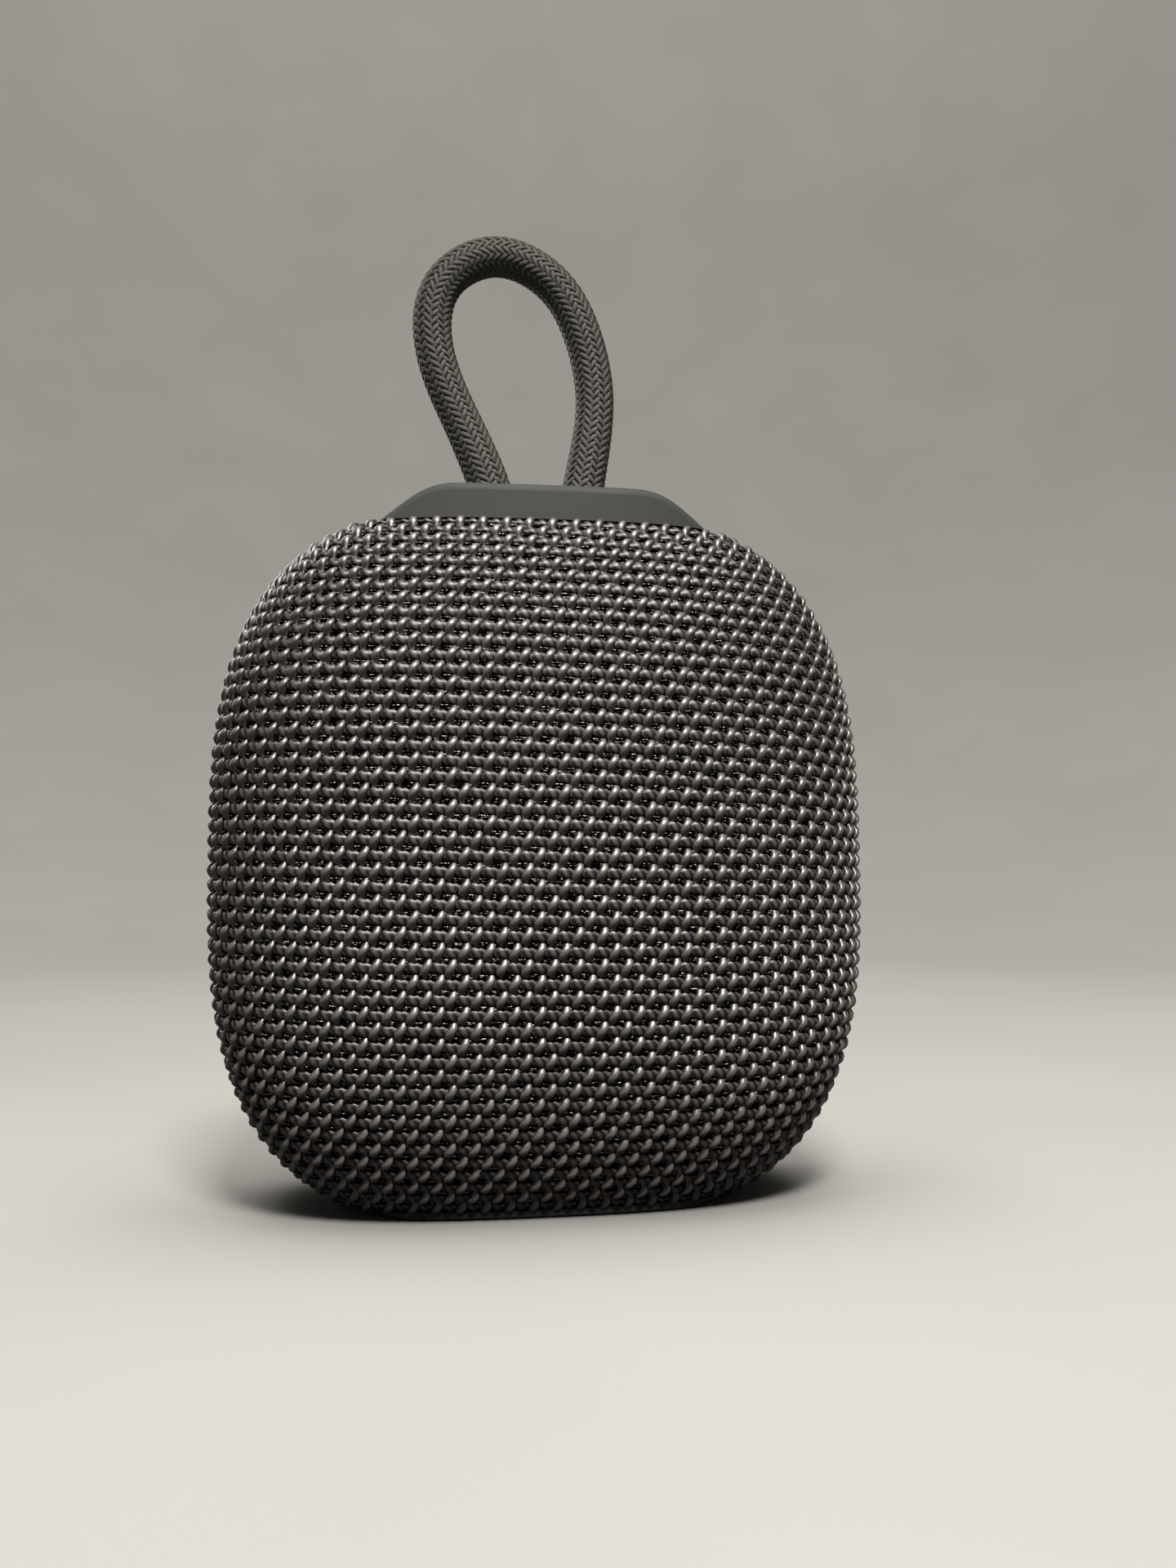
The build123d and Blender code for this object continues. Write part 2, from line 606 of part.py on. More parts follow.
with BuildPart() as baffle:
    rounded_plate(BAFFLE_HALF_WIDTH, BAFFLE_HALF_HEIGHT, BAFFLE_BACK, BAFFLE_FRONT)
    ring(0, DRIVER_HOLE_RADIUS, -FAR, FAR, DRIVER_HEIGHT, Mode.SUBTRACT)
    pins_back(DRIVER_SCREWS, SCREW_RADIUS + SCREW_FIT, -FAR, FAR, Mode.SUBTRACT)
    with Locations(*[at_depth(BAFFLE_FRONT).location * Location((*place, 0)) for place in BAFFLE_SCREWS]):
        CounterSinkHole(SCREW_RADIUS + SCREW_FIT, SCREW_HEAD_RADIUS + SCREW_FIT, FAR)
save(baffle, "baffle")

with BuildPart() as baffle_gasket:
    rounded_plate(BAFFLE_HALF_WIDTH - GAP, BAFFLE_HALF_HEIGHT - GAP, RIM, BAFFLE_BACK)
    inner = (BAFFLE_HALF_WIDTH - GASKET_WIDTH, BAFFLE_HALF_HEIGHT - GASKET_WIDTH)
    rounded_plate(*inner, RIM, BAFFLE_BACK, Mode.SUBTRACT)
save(baffle_gasket, "baffle_gasket")

with BuildPart() as baffle_screws:
    pins_back(BAFFLE_SCREWS, SCREW_RADIUS, BAFFLE_FRONT, BAFFLE_SCREW_TIP)
    for place in BAFFLE_SCREWS:
        with BuildSketch(at_depth(BAFFLE_FRONT)) as head:
            with Locations(place):
                Circle(SCREW_HEAD_RADIUS)
        taper = SCREW_HEAD_RADIUS - SCREW_RADIUS
        extrude(head.sketch, amount=-taper, taper=45)
save(baffle_screws, "baffle_screws")

# ---------------------------------------------------------------- driver

with BuildPart() as driver_gasket:
    ring(DRIVER_HOLE_RADIUS, FLANGE_RADIUS, FLANGE_BACK + GAP, BAFFLE_FRONT - GAP, DRIVER_HEIGHT)
    pins_back(DRIVER_SCREWS, SCREW_RADIUS + SCREW_FIT, -FAR, FAR, Mode.SUBTRACT)
save(driver_gasket, "driver_gasket")

with BuildPart() as driver_basket:
    turn(
        [
            (SURROUND_RADIUS - LAND_WIDTH, FLANGE_FRONT),
            (FLANGE_RADIUS, FLANGE_FRONT),
            (FLANGE_RADIUS, FLANGE_BACK),
            (DRIVER_HOLE_RADIUS - KEY_FIT, FLANGE_BACK),
            (SPIDER_RADIUS + STEEL, BASKET_FLOOR + STEEL),
            (CUP_RADIUS, BASKET_FLOOR + STEEL),
            (CUP_RADIUS, CUP_FRONT - GAP),
            (COIL_RADIUS + COIL_SPACE, CUP_FRONT - GAP),
            (COIL_RADIUS + COIL_SPACE, BASKET_FLOOR),
            (SPIDER_RADIUS - STEEL, BASKET_FLOOR),
            (SPIDER_RADIUS - STEEL, SPIDER_SEAT),
            (SPIDER_RADIUS, SPIDER_SEAT),
        ],
        DRIVER_HEIGHT,
    )
    pins_back(DRIVER_SCREWS, SCREW_RADIUS + SCREW_FIT, -FAR, FAR, Mode.SUBTRACT)
    # vents in the floor
    with BuildSketch(at_depth(BASKET_FLOOR + STEEL + GAP)) as windows:
        with Locations((0, DRIVER_HEIGHT)):
            with PolarLocations(WINDOW_CIRCLE, WINDOW_COUNT):
                Rectangle(WINDOW_LENGTH, WINDOW_WIDTH)
    extrude(windows.sketch, amount=STEEL + 2 * GAP, mode=Mode.SUBTRACT)
save(driver_basket, "driver_basket")

with BuildPart() as driver_screws:
    pins_back(DRIVER_SCREWS, SCREW_RADIUS, FLANGE_FRONT, DRIVER_SCREW_TIP)
    pins_back(DRIVER_SCREWS, SCREW_HEAD_RADIUS, FLANGE_FRONT - GAP - SCREW_HEAD, FLANGE_FRONT - GAP)
    pins_back(DRIVER_SCREWS, SCREW_RADIUS, FLANGE_FRONT - GAP, FLANGE_FRONT)
save(driver_screws, "driver_screws")

with BuildPart() as driver_yoke:
    turn(
        [
            (0, CUP_BACK - STEEL),
            (CUP_RADIUS - STEEL, CUP_BACK - STEEL),
            (CUP_RADIUS - STEEL, CUP_FRONT),
            (CUP_RADIUS, CUP_FRONT),
            (CUP_RADIUS, CUP_BACK),
            (0, CUP_BACK),
        ],
        DRIVER_HEIGHT,
    )
save(driver_yoke, "driver_yoke")

with BuildPart() as driver_magnet:
    ring(0, MAGNET_RADIUS, MAGNET_FRONT, CUP_BACK - STEEL - GAP, DRIVER_HEIGHT)
save(driver_magnet, "driver_magnet")

with BuildPart() as pole_piece:
    ring(0, POLE_RADIUS, POLE_FRONT, MAGNET_FRONT - GAP, DRIVER_HEIGHT)
save(pole_piece, "pole_piece")

with BuildPart() as voice_coil:
    ring(COIL_RADIUS - COIL_WALL, COIL_RADIUS, COIL_FRONT, COIL_BACK, DRIVER_HEIGHT)
save(voice_coil, "voice_coil")

with BuildPart() as driver_cone:
    turn(
        [
            (COIL_RADIUS + GAP, COIL_FRONT + CONE_WALL),
            (CONE_RADIUS, CONE_FRONT + CONE_WALL),
            (CONE_RADIUS, CONE_FRONT),
            (COIL_RADIUS + GAP, COIL_FRONT),
        ],
        DRIVER_HEIGHT,
    )
save(driver_cone, "driver_cone")

with BuildPart() as dust_cap:
    # shallow dome over the coil: depth falls with the square of the radius
    steps = [COIL_RADIUS * step / DOME_STEPS for step in range(DOME_STEPS + 1)]
    rise = COIL_FRONT - CONE_WALL - GAP - DOME_FRONT
    front_face = [(radius, DOME_FRONT + rise * (radius / COIL_RADIUS) ** 2) for radius in steps]
    back_face = [(radius, depth + CONE_WALL) for radius, depth in reversed(front_face)]
    turn(front_face + back_face, DRIVER_HEIGHT)
save(dust_cap, "dust_cap")

with BuildPart() as driver_surround:
    land_back = FLANGE_FRONT - GAP
    land_front = land_back - LAND_THICKNESS
    ring(SURROUND_RADIUS - LAND_WIDTH, SURROUND_RADIUS, land_front, land_back, DRIVER_HEIGHT)
    roll_outer = SURROUND_RADIUS - LAND_WIDTH + ROLL_WALL
    half_roll(CONE_RADIUS + GAP, roll_outer, land_back, ROLL_RISE, DRIVER_HEIGHT)
    ring(CONE_RADIUS + GAP, CONE_RADIUS + ROLL_WALL, land_back, CONE_FRONT, DRIVER_HEIGHT)
save(driver_surround, "driver_surround")

with BuildPart() as spider:
    # corrugated disc between the coil and its seat in the basket
    inner = COIL_RADIUS + GAP
    outer = SPIDER_RADIUS - GAP
    flat = outer - STEEL
    front_face = [(inner, SPIDER_SEAT - GAP - SPIDER_THICKNESS)]
    for wave in range(2 * SPIDER_WAVES):
        rise = SPIDER_WAVE_RISE if wave % 2 else 0
        radius = inner + (flat - inner) * (wave + 0.5) / (2 * SPIDER_WAVES)
        front_face.append((radius, SPIDER_SEAT - GAP - SPIDER_THICKNESS - rise))
    front_face += [(flat, front_face[0][1]), (outer, front_face[0][1])]
    back_face = [(radius, depth + SPIDER_THICKNESS) for radius, depth in reversed(front_face)]
    turn(front_face + back_face, DRIVER_HEIGHT)
save(spider, "spider")

# ---------------------------------------------------------------- passive radiator

with BuildPart() as passive_frame:
    land = PASSIVE_SEAT + GAP + LAND_THICKNESS
    ring(PASSIVE_HOLE_RADIUS, PASSIVE_RADIUS, land + GAP, PASSIVE_FRAME_BACK, PASSIVE_HEIGHT)
save(passive_frame, "passive_frame")

with BuildPart() as passive_surround:
    half_roll(PASSIVE_PLATE_RADIUS + GAP, PASSIVE_ROLL_RADIUS, PASSIVE_SEAT + GAP, ROLL_RISE, PASSIVE_HEIGHT)
    ring(
        PASSIVE_ROLL_RADIUS - ROLL_WALL,
        PASSIVE_LAND_RADIUS,
        PASSIVE_SEAT + GAP,
        PASSIVE_SEAT + GAP + LAND_THICKNESS,
        PASSIVE_HEIGHT,
    )
save(passive_surround, "passive_surround")

with BuildPart() as passive_plate:
    ring(0, PASSIVE_PLATE_RADIUS, PASSIVE_PLATE_FRONT, PASSIVE_PLATE_BACK, PASSIVE_HEIGHT)
save(passive_plate, "passive_plate")

# ---------------------------------------------------------------- battery

with BuildPart() as battery_cell:
    crosswise(CELL_AXIS, CELL_RADIUS, CELL_LENGTH)
    crosswise(CELL_AXIS, CELL_TERMINAL_RADIUS, CELL_LENGTH + 2 * CELL_TERMINAL)
save(battery_cell, "battery_cell")

with BuildPart() as battery_cradle:
    add(shell_form(SHELL_INNER_INSET + GAP, CAVITY_FLAT - GAP))
    block(
        (-CRADLE_HALF_LENGTH, CRADLE_HALF_LENGTH),
        (CRADLE_FRONT, FAR),
        (CRADLE_BOTTOM, CRADLE_TOP),
        Mode.INTERSECT,
    )
    crosswise(CELL_AXIS, CELL_RADIUS + GAP, FAR, Mode.SUBTRACT)
save(battery_cradle, "battery_cradle")

with BuildPart() as battery_pads:
    for x in (-PAD_X, PAD_X):
        block(
            (x - PAD_HALF_LENGTH, x + PAD_HALF_LENGTH),
            (BAFFLE_BACK + GAP, CELL_DEPTH - CELL_RADIUS + PAD_WRAP),
            (CELL_HEIGHT - PAD_HALF_HEIGHT, CELL_HEIGHT + PAD_HALF_HEIGHT),
        )
    crosswise(CELL_AXIS, CELL_RADIUS + GAP, FAR, Mode.SUBTRACT)
save(battery_pads, "battery_pads")

# ---------------------------------------------------------------- main board

board_span = (-BOARD_HALF_WIDTH, BOARD_HALF_WIDTH)
with BuildPart() as main_board:
    block(board_span, (BOARD_FRONT, BOARD_BACK), (BOARD_BOTTOM, BOARD_TOP))
    corners = main_board.edges().filter_by(Axis.Z).sort_by(Axis.Y)
    fillet(corners[:2], BOARD_CORNER)
    chamfer(main_board.edges().filter_by(Axis.Z).sort_by(Axis.Y)[-2:], BOARD_CHAMFER)
    pins_down(board_posts, SCREW_RADIUS + SCREW_FIT, BOARD_BOTTOM, BOARD_TOP, Mode.SUBTRACT)
save(main_board, "main_board")

with BuildPart() as board_screws:
    pins_down(board_posts, SCREW_RADIUS, BOARD_BOTTOM - GAP, BOARD_TOP + POST_BORE - 1)
    pins_down(board_posts, SCREW_HEAD_RADIUS, BOARD_BOTTOM - GAP - SCREW_HEAD, BOARD_BOTTOM - GAP)
save(board_screws, "board_screws")

with BuildPart() as usb_receptacle:
    with BuildSketch(at_depth(PORT_MOUTH)) as mouth:
        with Locations((0, REAR_HEIGHT)):
            SlotOverall(PORT_WIDTH, PORT_THICKNESS)
    extrude(mouth.sketch, amount=PORT_MOUTH - PORT_FRONT)
    with BuildSketch(at_depth(PORT_MOUTH)) as opening:
        with Locations((0, REAR_HEIGHT)):
            SlotOverall(PORT_WIDTH - 2 * PORT_WALL, PORT_THICKNESS - 2 * PORT_WALL)
            Rectangle(PORT_TONGUE_WIDTH, PORT_TONGUE, mode=Mode.SUBTRACT)
    extrude(opening.sketch, amount=PORT_MOUTH - PORT_FRONT - 2 * PORT_WALL, mode=Mode.SUBTRACT)
save(usb_receptacle, "usb_receptacle")

on_board = BOARD_TOP + GAP
with BuildPart() as shield_can:
    block(CAN_SPAN, CAN_DEPTHS, (on_board, on_board + CAN_RISE))
    fillet(shield_can.edges().filter_by(Axis.Z), BOARD_CORNER)
save(shield_can, "shield_can")

with BuildPart() as amplifier_chip:
    block(CHIP_SPAN, CHIP_DEPTHS, (on_board, on_board + CHIP_RISE))
save(amplifier_chip, "amplifier_chip")

with BuildPart() as inductor:
    block(INDUCTOR_SPAN, INDUCTOR_DEPTHS, (on_board, on_board + INDUCTOR_RISE))
    chamfer(inductor.edges().filter_by(Axis.Z), BOARD_CHAMFER)
save(inductor, "inductor")

with BuildPart() as capacitors:
    pins_down(CAPACITOR_PLACES, CAPACITOR_RADIUS, on_board, on_board + CAPACITOR_RISE)
save(capacitors, "capacitors")

with BuildPart() as status_led:
    block(
        (PIPE_X - LED_HALF_WIDTH, PIPE_X + LED_HALF_WIDTH),
        (BOARD_BACK - LED_DEPTH, BOARD_BACK),
        (on_board, on_board + LED_RISE),
    )
save(status_led, "status_led")

with BuildPart() as light_pipe:
    pins_back([(PIPE_X, PIPE_HEIGHT)], PIPE_RADIUS, BOARD_BACK + GAP, FAR)
    add(SADDLE, mode=Mode.INTERSECT)
save(light_pipe, "light_pipe")

with BuildPart() as rear_switches:
    for x, _ in rear_places:
        side = SWITCH_SIDE / 2
        heights = (on_board, 2 * REAR_HEIGHT - on_board)
        block((x - side, x + side), (REAR_SWITCH_FRONT, REAR_SWITCH_BACK), heights)
    bore = PLUNGER_RADIUS + GAP
    pins_back(rear_places, bore, REAR_SWITCH_BACK - SWITCH_BORE, REAR_SWITCH_BACK, Mode.SUBTRACT)
save(rear_switches, "rear_switches")

# ---------------------------------------------------------------- key board

with BuildPart() as key_board:
    block(
        (-KEY_BOARD_HALF_WIDTH, KEY_BOARD_HALF_WIDTH),
        (KEY_BOARD_FRONT, KEY_BOARD_BACK),
        (KEY_BOARD_BOTTOM, KEY_BOARD_TOP),
    )
    fillet(key_board.edges().filter_by(Axis.Z), BOARD_CORNER)
    pins_down(key_posts, SCREW_RADIUS + SCREW_FIT, KEY_BOARD_BOTTOM, KEY_BOARD_TOP, Mode.SUBTRACT)
save(key_board, "key_board")

with BuildPart() as key_board_screws:
    seat_height = KEY_BOARD_BOTTOM - GAP
    pins_down(key_posts, SCREW_RADIUS, seat_height, ANCHOR_SCREW_TIP)
    pins_down(key_posts, SCREW_HEAD_RADIUS, seat_height - SCREW_HEAD, seat_height)
save(key_board_screws, "key_board_screws")

on_keys = KEY_BOARD_TOP + GAP
with BuildPart() as key_switches:
    for x, y in key_places:
        side = SWITCH_SIDE / 2
        block((x - side, x + side), (y - side, y + side), (on_keys, on_keys + SWITCH_BODY))
    switch_top = on_keys + SWITCH_BODY
    pins_down(key_places, PLUNGER_RADIUS + GAP, switch_top - SWITCH_BORE, switch_top, Mode.SUBTRACT)
save(key_switches, "key_switches")

with BuildPart() as microphone:
    block(
        (MICROPHONE_X - MICROPHONE_HALF_WIDTH, MICROPHONE_X + MICROPHONE_HALF_WIDTH),
        (KEY_Y - MICROPHONE_HALF_DEPTH, KEY_Y + MICROPHONE_HALF_DEPTH),
        (on_keys, on_keys + MICROPHONE_RISE),
    )
save(microphone, "microphone")

with BuildPart() as ribbon:
    block((-RIBBON_HALF_WIDTH, RIBBON_HALF_WIDTH), RIBBON_DEPTHS, (on_board, KEY_BOARD_BOTTOM - GAP))
save(ribbon, "ribbon")

# ---------------------------------------------------------------- buttons

for name, x in KEYS:
    with BuildPart() as plunger:
        pins_down([(x, KEY_Y)], PLUNGER_RADIUS, on_keys + SWITCH_BODY + GAP, STEM_BOTTOM - STEM_CLEARANCE)
    save(plunger, f"{name}_plunger")

    with BuildPart() as button:
        with BuildSketch(at_height(KEY_HEAD_BOTTOM)) as head:
            with Locations((x, KEY_Y)):
                SlotOverall(KEY_LENGTH, KEY_WIDTH)
        extrude(head.sketch, amount=CAP_TOP + KEY_PROUD - KEY_HEAD_BOTTOM)
        fillet(button.faces().sort_by(Axis.Z)[-1].edges(), KEY_ROUND)
        pins_down([(x, KEY_Y)], STEM_RADIUS, STEM_BOTTOM, KEY_HEAD_BOTTOM)
        with BuildSketch(at_height(CAP_TOP + KEY_PROUD)) as icon:
            with Locations((x, KEY_Y)):
                if name == "play":
                    RegularPolygon(ICON_LENGTH / 2, 3)
                else:
                    Rectangle(ICON_LENGTH, ICON_WIDTH)
                if name == "plus":
                    Rectangle(ICON_WIDTH, ICON_LENGTH)
        extrude(icon.sketch, amount=ICON_RISE)
    save(button, f"{name}_button")

for name, x in REAR_KEYS:
    place = [(x, REAR_HEIGHT)]
    with BuildPart() as plunger:
        pins_back(place, PLUNGER_RADIUS, REAR_SWITCH_BACK + GAP, REAR_PLUNGER_BACK)
    save(plunger, f"{name}_plunger")

    with BuildPart() as button:
        pins_back(place, REAR_BUTTON_RADIUS, REAR_HEAD_FRONT, FAR)
        add(Pos(0, KEY_PROUD, 0) * SADDLE, mode=Mode.INTERSECT)
        pins_back(place, STEM_RADIUS, REAR_STEM_FRONT, REAR_HEAD_FRONT)
    save(button, f"{name}_button")

# ---------------------------------------------------------------- port cover

with BuildPart() as port_bezel:
    half = BEZEL_WIDTH / 2
    block((-half, half), (BOARD_BACK, FAR), (BEZEL_BOTTOM, BEZEL_TOP))
    add(SADDLE, mode=Mode.INTERSECT)
    add(shell_form(SHELL_INSET - GAP, SHELL_FLAT), mode=Mode.SUBTRACT)
    half = FLAP_WIDTH / 2 + KEY_FIT
    opening = (FLAP_AXIS_HEIGHT - FLAP_BARREL_RADIUS - KEY_FIT, FLAP_TOP + KEY_FIT)
    block((-half, half), (BOARD_BACK, FAR), opening, Mode.SUBTRACT)
    crosswise(FLAP_AXIS, FLAP_PIN_RADIUS + SCREW_FIT, FLAP_PIN_LENGTH + GAP, Mode.SUBTRACT)
save(port_bezel, "port_bezel")

with BuildPart() as port_flap:
    half = FLAP_WIDTH / 2
    block((-half, half), (FLAP_FRONT, FAR), (FLAP_AXIS_HEIGHT, FLAP_TOP))
    add(SADDLE, mode=Mode.INTERSECT)
    crosswise(FLAP_AXIS, FLAP_BARREL_RADIUS, FLAP_WIDTH)
    crosswise(FLAP_AXIS, FLAP_PIN_RADIUS + SCREW_FIT, FAR, Mode.SUBTRACT)
save(port_flap, "port_flap")

with BuildPart() as port_flap_pin:
    crosswise(FLAP_AXIS, FLAP_PIN_RADIUS, FLAP_PIN_LENGTH)
save(port_flap_pin, "port_flap_pin")

# ---------------------------------------------------------------- rope loop

with BuildPart() as rope_loop:
    middle = [(x, ROPE_Y, height) for x, height in LOOP_LEFT + LOOP_RIGHT]
    cord([(-ROPE_X, ROPE_Y, ROPE_HINGE), *middle, (ROPE_X, ROPE_Y, ROPE_HINGE)], ROPE_RADIUS)
    # round knuckles where the two legs bend over
    for x in (-ROPE_X, ROPE_X):
        with BuildSketch(SIDE.offset(x - ROPE_RADIUS)) as knuckle:
            with Locations((ROPE_Y, ROPE_HINGE)):
                Circle(KNUCKLE_RADIUS)
        extrude(knuckle.sketch, amount=2 * ROPE_RADIUS)
save(rope_loop, "rope_loop")

with BuildPart() as rope_ends:
    pins_down(rope_places, ROPE_RADIUS, CRIMP_BOTTOM, CAP_TOP)
save(rope_ends, "rope_ends")

with BuildPart() as rope_crimps:
    pins_down(rope_places, CRIMP_RADIUS, CRIMP_BOTTOM, ANCHOR_BOTTOM - GAP)
    pins_down(rope_places, ROPE_RADIUS + GAP, CRIMP_BOTTOM, ANCHOR_BOTTOM, Mode.SUBTRACT)
save(rope_crimps, "rope_crimps")

with BuildPart() as rope_anchor:
    block(
        (-ANCHOR_HALF_WIDTH, ANCHOR_HALF_WIDTH),
        (ROPE_Y - ANCHOR_HALF_DEPTH, ROPE_Y + ANCHOR_HALF_DEPTH),
        (ANCHOR_BOTTOM, ANCHOR_TOP),
    )
    fillet(rope_anchor.edges().filter_by(Axis.Z), BOARD_CORNER)
    pins_down(rope_places, ROPE_RADIUS + GAP, ANCHOR_BOTTOM, ANCHOR_TOP, Mode.SUBTRACT)
    pins_down(anchor_screw_places, SCREW_RADIUS + SCREW_FIT, ANCHOR_BOTTOM, ANCHOR_TOP, Mode.SUBTRACT)
save(rope_anchor, "rope_anchor")

with BuildPart() as anchor_screws:
    seat_height = ANCHOR_BOTTOM - GAP
    pins_down(anchor_screw_places, SCREW_RADIUS, seat_height, ANCHOR_SCREW_TIP)
    pins_down(anchor_screw_places, SCREW_HEAD_RADIUS, seat_height - SCREW_HEAD, seat_height)
save(anchor_screws, "anchor_screws")

# ---------------------------------------------------------------- leads

with BuildPart() as battery_leads:
    for side in (-1, 1):
        cord([(side * x, depth, height) for x, depth, height in BATTERY_LEAD], LEAD_RADIUS)
save(battery_leads, "battery_leads")

with BuildPart() as speaker_leads:
    for side in (-1, 1):
        cord([(side * x, depth, height) for x, depth, height in SPEAKER_LEAD], LEAD_RADIUS)
save(speaker_leads, "speaker_leads")
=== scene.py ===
"""Looks of the portable bluetooth speaker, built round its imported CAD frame.

Metres, +Z up, front facing -Y. The woven cover and the braided rope are modelled yarn by yarn from
formulas, in millimetres about the body's middle. Every other piece is the CAD node itself with a
procedural material.
"""

import json
import math

import bpy
import numpy as np
from mathutils import Matrix, Vector


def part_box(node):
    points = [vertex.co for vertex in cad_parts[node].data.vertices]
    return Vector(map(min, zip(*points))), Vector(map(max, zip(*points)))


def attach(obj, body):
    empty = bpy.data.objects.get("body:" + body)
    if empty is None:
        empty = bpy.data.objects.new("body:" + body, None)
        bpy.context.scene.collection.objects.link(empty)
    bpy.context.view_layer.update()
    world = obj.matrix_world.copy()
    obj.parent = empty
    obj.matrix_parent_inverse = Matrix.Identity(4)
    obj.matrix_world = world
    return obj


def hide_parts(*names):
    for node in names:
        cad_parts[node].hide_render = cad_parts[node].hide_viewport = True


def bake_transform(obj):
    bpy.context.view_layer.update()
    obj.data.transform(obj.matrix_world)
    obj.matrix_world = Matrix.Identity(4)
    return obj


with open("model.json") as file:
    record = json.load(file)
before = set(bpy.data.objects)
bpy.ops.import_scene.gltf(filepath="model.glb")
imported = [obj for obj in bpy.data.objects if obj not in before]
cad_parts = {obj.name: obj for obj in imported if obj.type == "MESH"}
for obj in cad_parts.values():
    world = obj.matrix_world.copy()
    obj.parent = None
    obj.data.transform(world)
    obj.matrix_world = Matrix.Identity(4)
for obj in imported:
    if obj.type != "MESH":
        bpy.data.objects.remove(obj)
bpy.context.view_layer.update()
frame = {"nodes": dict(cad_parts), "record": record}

MM = 0.001
sleeve_low, sleeve_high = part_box("fabric_sleeve")
rope_low, rope_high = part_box("rope_loop")
saddle_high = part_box("silicone_saddle")[1]
rope_end_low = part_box("rope_ends")[0]
CENTER_Z = (sleeve_low.z + sleeve_high.z) / 2
CAP_TOP = saddle_high.z
BAND_EDGE = saddle_high.x / MM  # half width of the silicone band

# ------------------------------------------------------------------ tubes and meshes


def to_world(points):
    """Millimetres about the body's middle to metres in the row frame."""
    return points * MM + np.array([0, 0, CENTER_Z])


def unit(vectors):
    """Vectors scaled to length one."""
    return vectors / (np.linalg.norm(vectors, axis=-1, keepdims=True) + 1e-12)


def lengths_along(steps):
    """Running length at each point, from the steps between points."""
    return np.concatenate([[0], np.cumsum(steps)])


def mesh_object(name, vertices, *face_sets):
    """Smooth mesh object from places and arrays of faces, each array with its own number of corners."""
    mesh = bpy.data.meshes.new(name)
    mesh.vertices.add(len(vertices))
    mesh.vertices.foreach_set("co", vertices.astype(np.float32).ravel())
    loops = np.concatenate([faces.ravel() for faces in face_sets])
    corners = np.concatenate([np.full(len(faces), faces.shape[1]) for faces in face_sets])
    starts = lengths_along(corners)[:-1]
    mesh.loops.add(len(loops))
    mesh.loops.foreach_set("vertex_index", loops.astype(np.int32))
    mesh.polygons.add(len(starts))
    mesh.polygons.foreach_set("loop_start", starts.astype(np.int32))
    mesh.polygons.foreach_set("use_smooth", np.ones(len(starts), bool))
    obj = bpy.data.objects.new(name, mesh)
    bpy.context.scene.collection.objects.link(obj)
    return obj


class Tubes:
    """Collects closed tubes and turns them into one mesh."""

    def __init__(self, sides):
        self.sides = sides
        self.vertices = []
        self.values = []
        self.walls = []
        self.ends = []
        self.count = 0
        self.tubes = 0

    def add(self, path, lateral, outward, half_width, half_thick, along, twist=0.0, ridge=0.0):
        """Sweep a two-ply yarn along a path; lateral and outward are unit directions at each point."""
        steps = len(path)
        angles = np.arange(self.sides) * 2 * math.pi / self.sides
        helix = angles[None, :] - math.pi / 2 + np.reshape(twist, (-1, 1))
        plies = (1 + ridge * np.cos(2 * helix))[..., None]
        wide = np.cos(angles)[None, :, None] * np.reshape(half_width, (-1, 1, 1)) * plies
        thick = np.sin(angles)[None, :, None] * np.reshape(half_thick, (-1, 1, 1)) * plies
        ring = path[:, None] + lateral[:, None] * wide + outward[:, None] * thick
        self.vertices += [ring.reshape(-1, 3), np.stack([path[0], path[-1]])]
        self.add_values(np.asarray(along), helix, steps)
        self.add_faces(steps)
        self.count += steps * self.sides + 2
        self.tubes += 1

    def add_values(self, along, helix, steps):
        """For the material: length along the yarn, turn round its plies, and which yarn it is."""
        value = np.empty((steps, self.sides, 3))
        value[..., 0] = along[:, None]
        value[..., 1] = np.broadcast_to(helix / (2 * math.pi), (steps, self.sides))
        value[..., 2] = self.tubes
        ends = np.array([[along[0], 0, self.tubes], [along[-1], 0, self.tubes]])
        self.values += [value.reshape(-1, 3), ends]

    def add_faces(self, steps):
        """Quads of the wall, and a fan of triangles that closes each end."""
        index = self.count + np.arange(steps * self.sides).reshape(steps, self.sides)
        after = np.roll(index, -1, axis=1)
        self.walls.append(np.stack([index[:-1], after[:-1], after[1:], index[1:]], axis=-1).reshape(-1, 4))
        first = self.count + steps * self.sides
        last = first + 1
        self.ends.append(np.stack([after[0], index[0], np.full(self.sides, first)], axis=-1))
        self.ends.append(np.stack([index[-1], after[-1], np.full(self.sides, last)], axis=-1))

    def build(self, name):
        """One mesh object of all the tubes, with the values above as its "yarn" attribute."""
        places = to_world(np.concatenate(self.vertices))
        obj = mesh_object(name, places, np.concatenate(self.walls), np.concatenate(self.ends))
        layer = obj.data.attributes.new("yarn", "FLOAT_VECTOR", "POINT")
        layer.data.foreach_set("vector", np.concatenate(self.values).astype(np.float32).ravel())
        obj.data.update(calc_edges=True)
        return obj


# ------------------------------------------------------------------ woven cover

HALF_WIDTH = sleeve_high.x / MM
HALF_HEIGHT = 52.4  # of the full outline, before it is cut at the fabric's edges
HALF_DEPTH = 21.5
FABRIC_EDGE = (sleeve_high.z - sleeve_low.z) / 2 / MM
CORNER_POWER = 3.0  # squareness of the front outline
FRONT_POWER = 2.2  # how full the front is, 2 being elliptical
BACK_POWER = 4.0
MID_INSET = 0.6  # from the outer face to the middle of the cloth
HEM_RADIUS = 0.8
HEM_DEPTH = 1.2  # how far the yarns run on past the cloth's edge

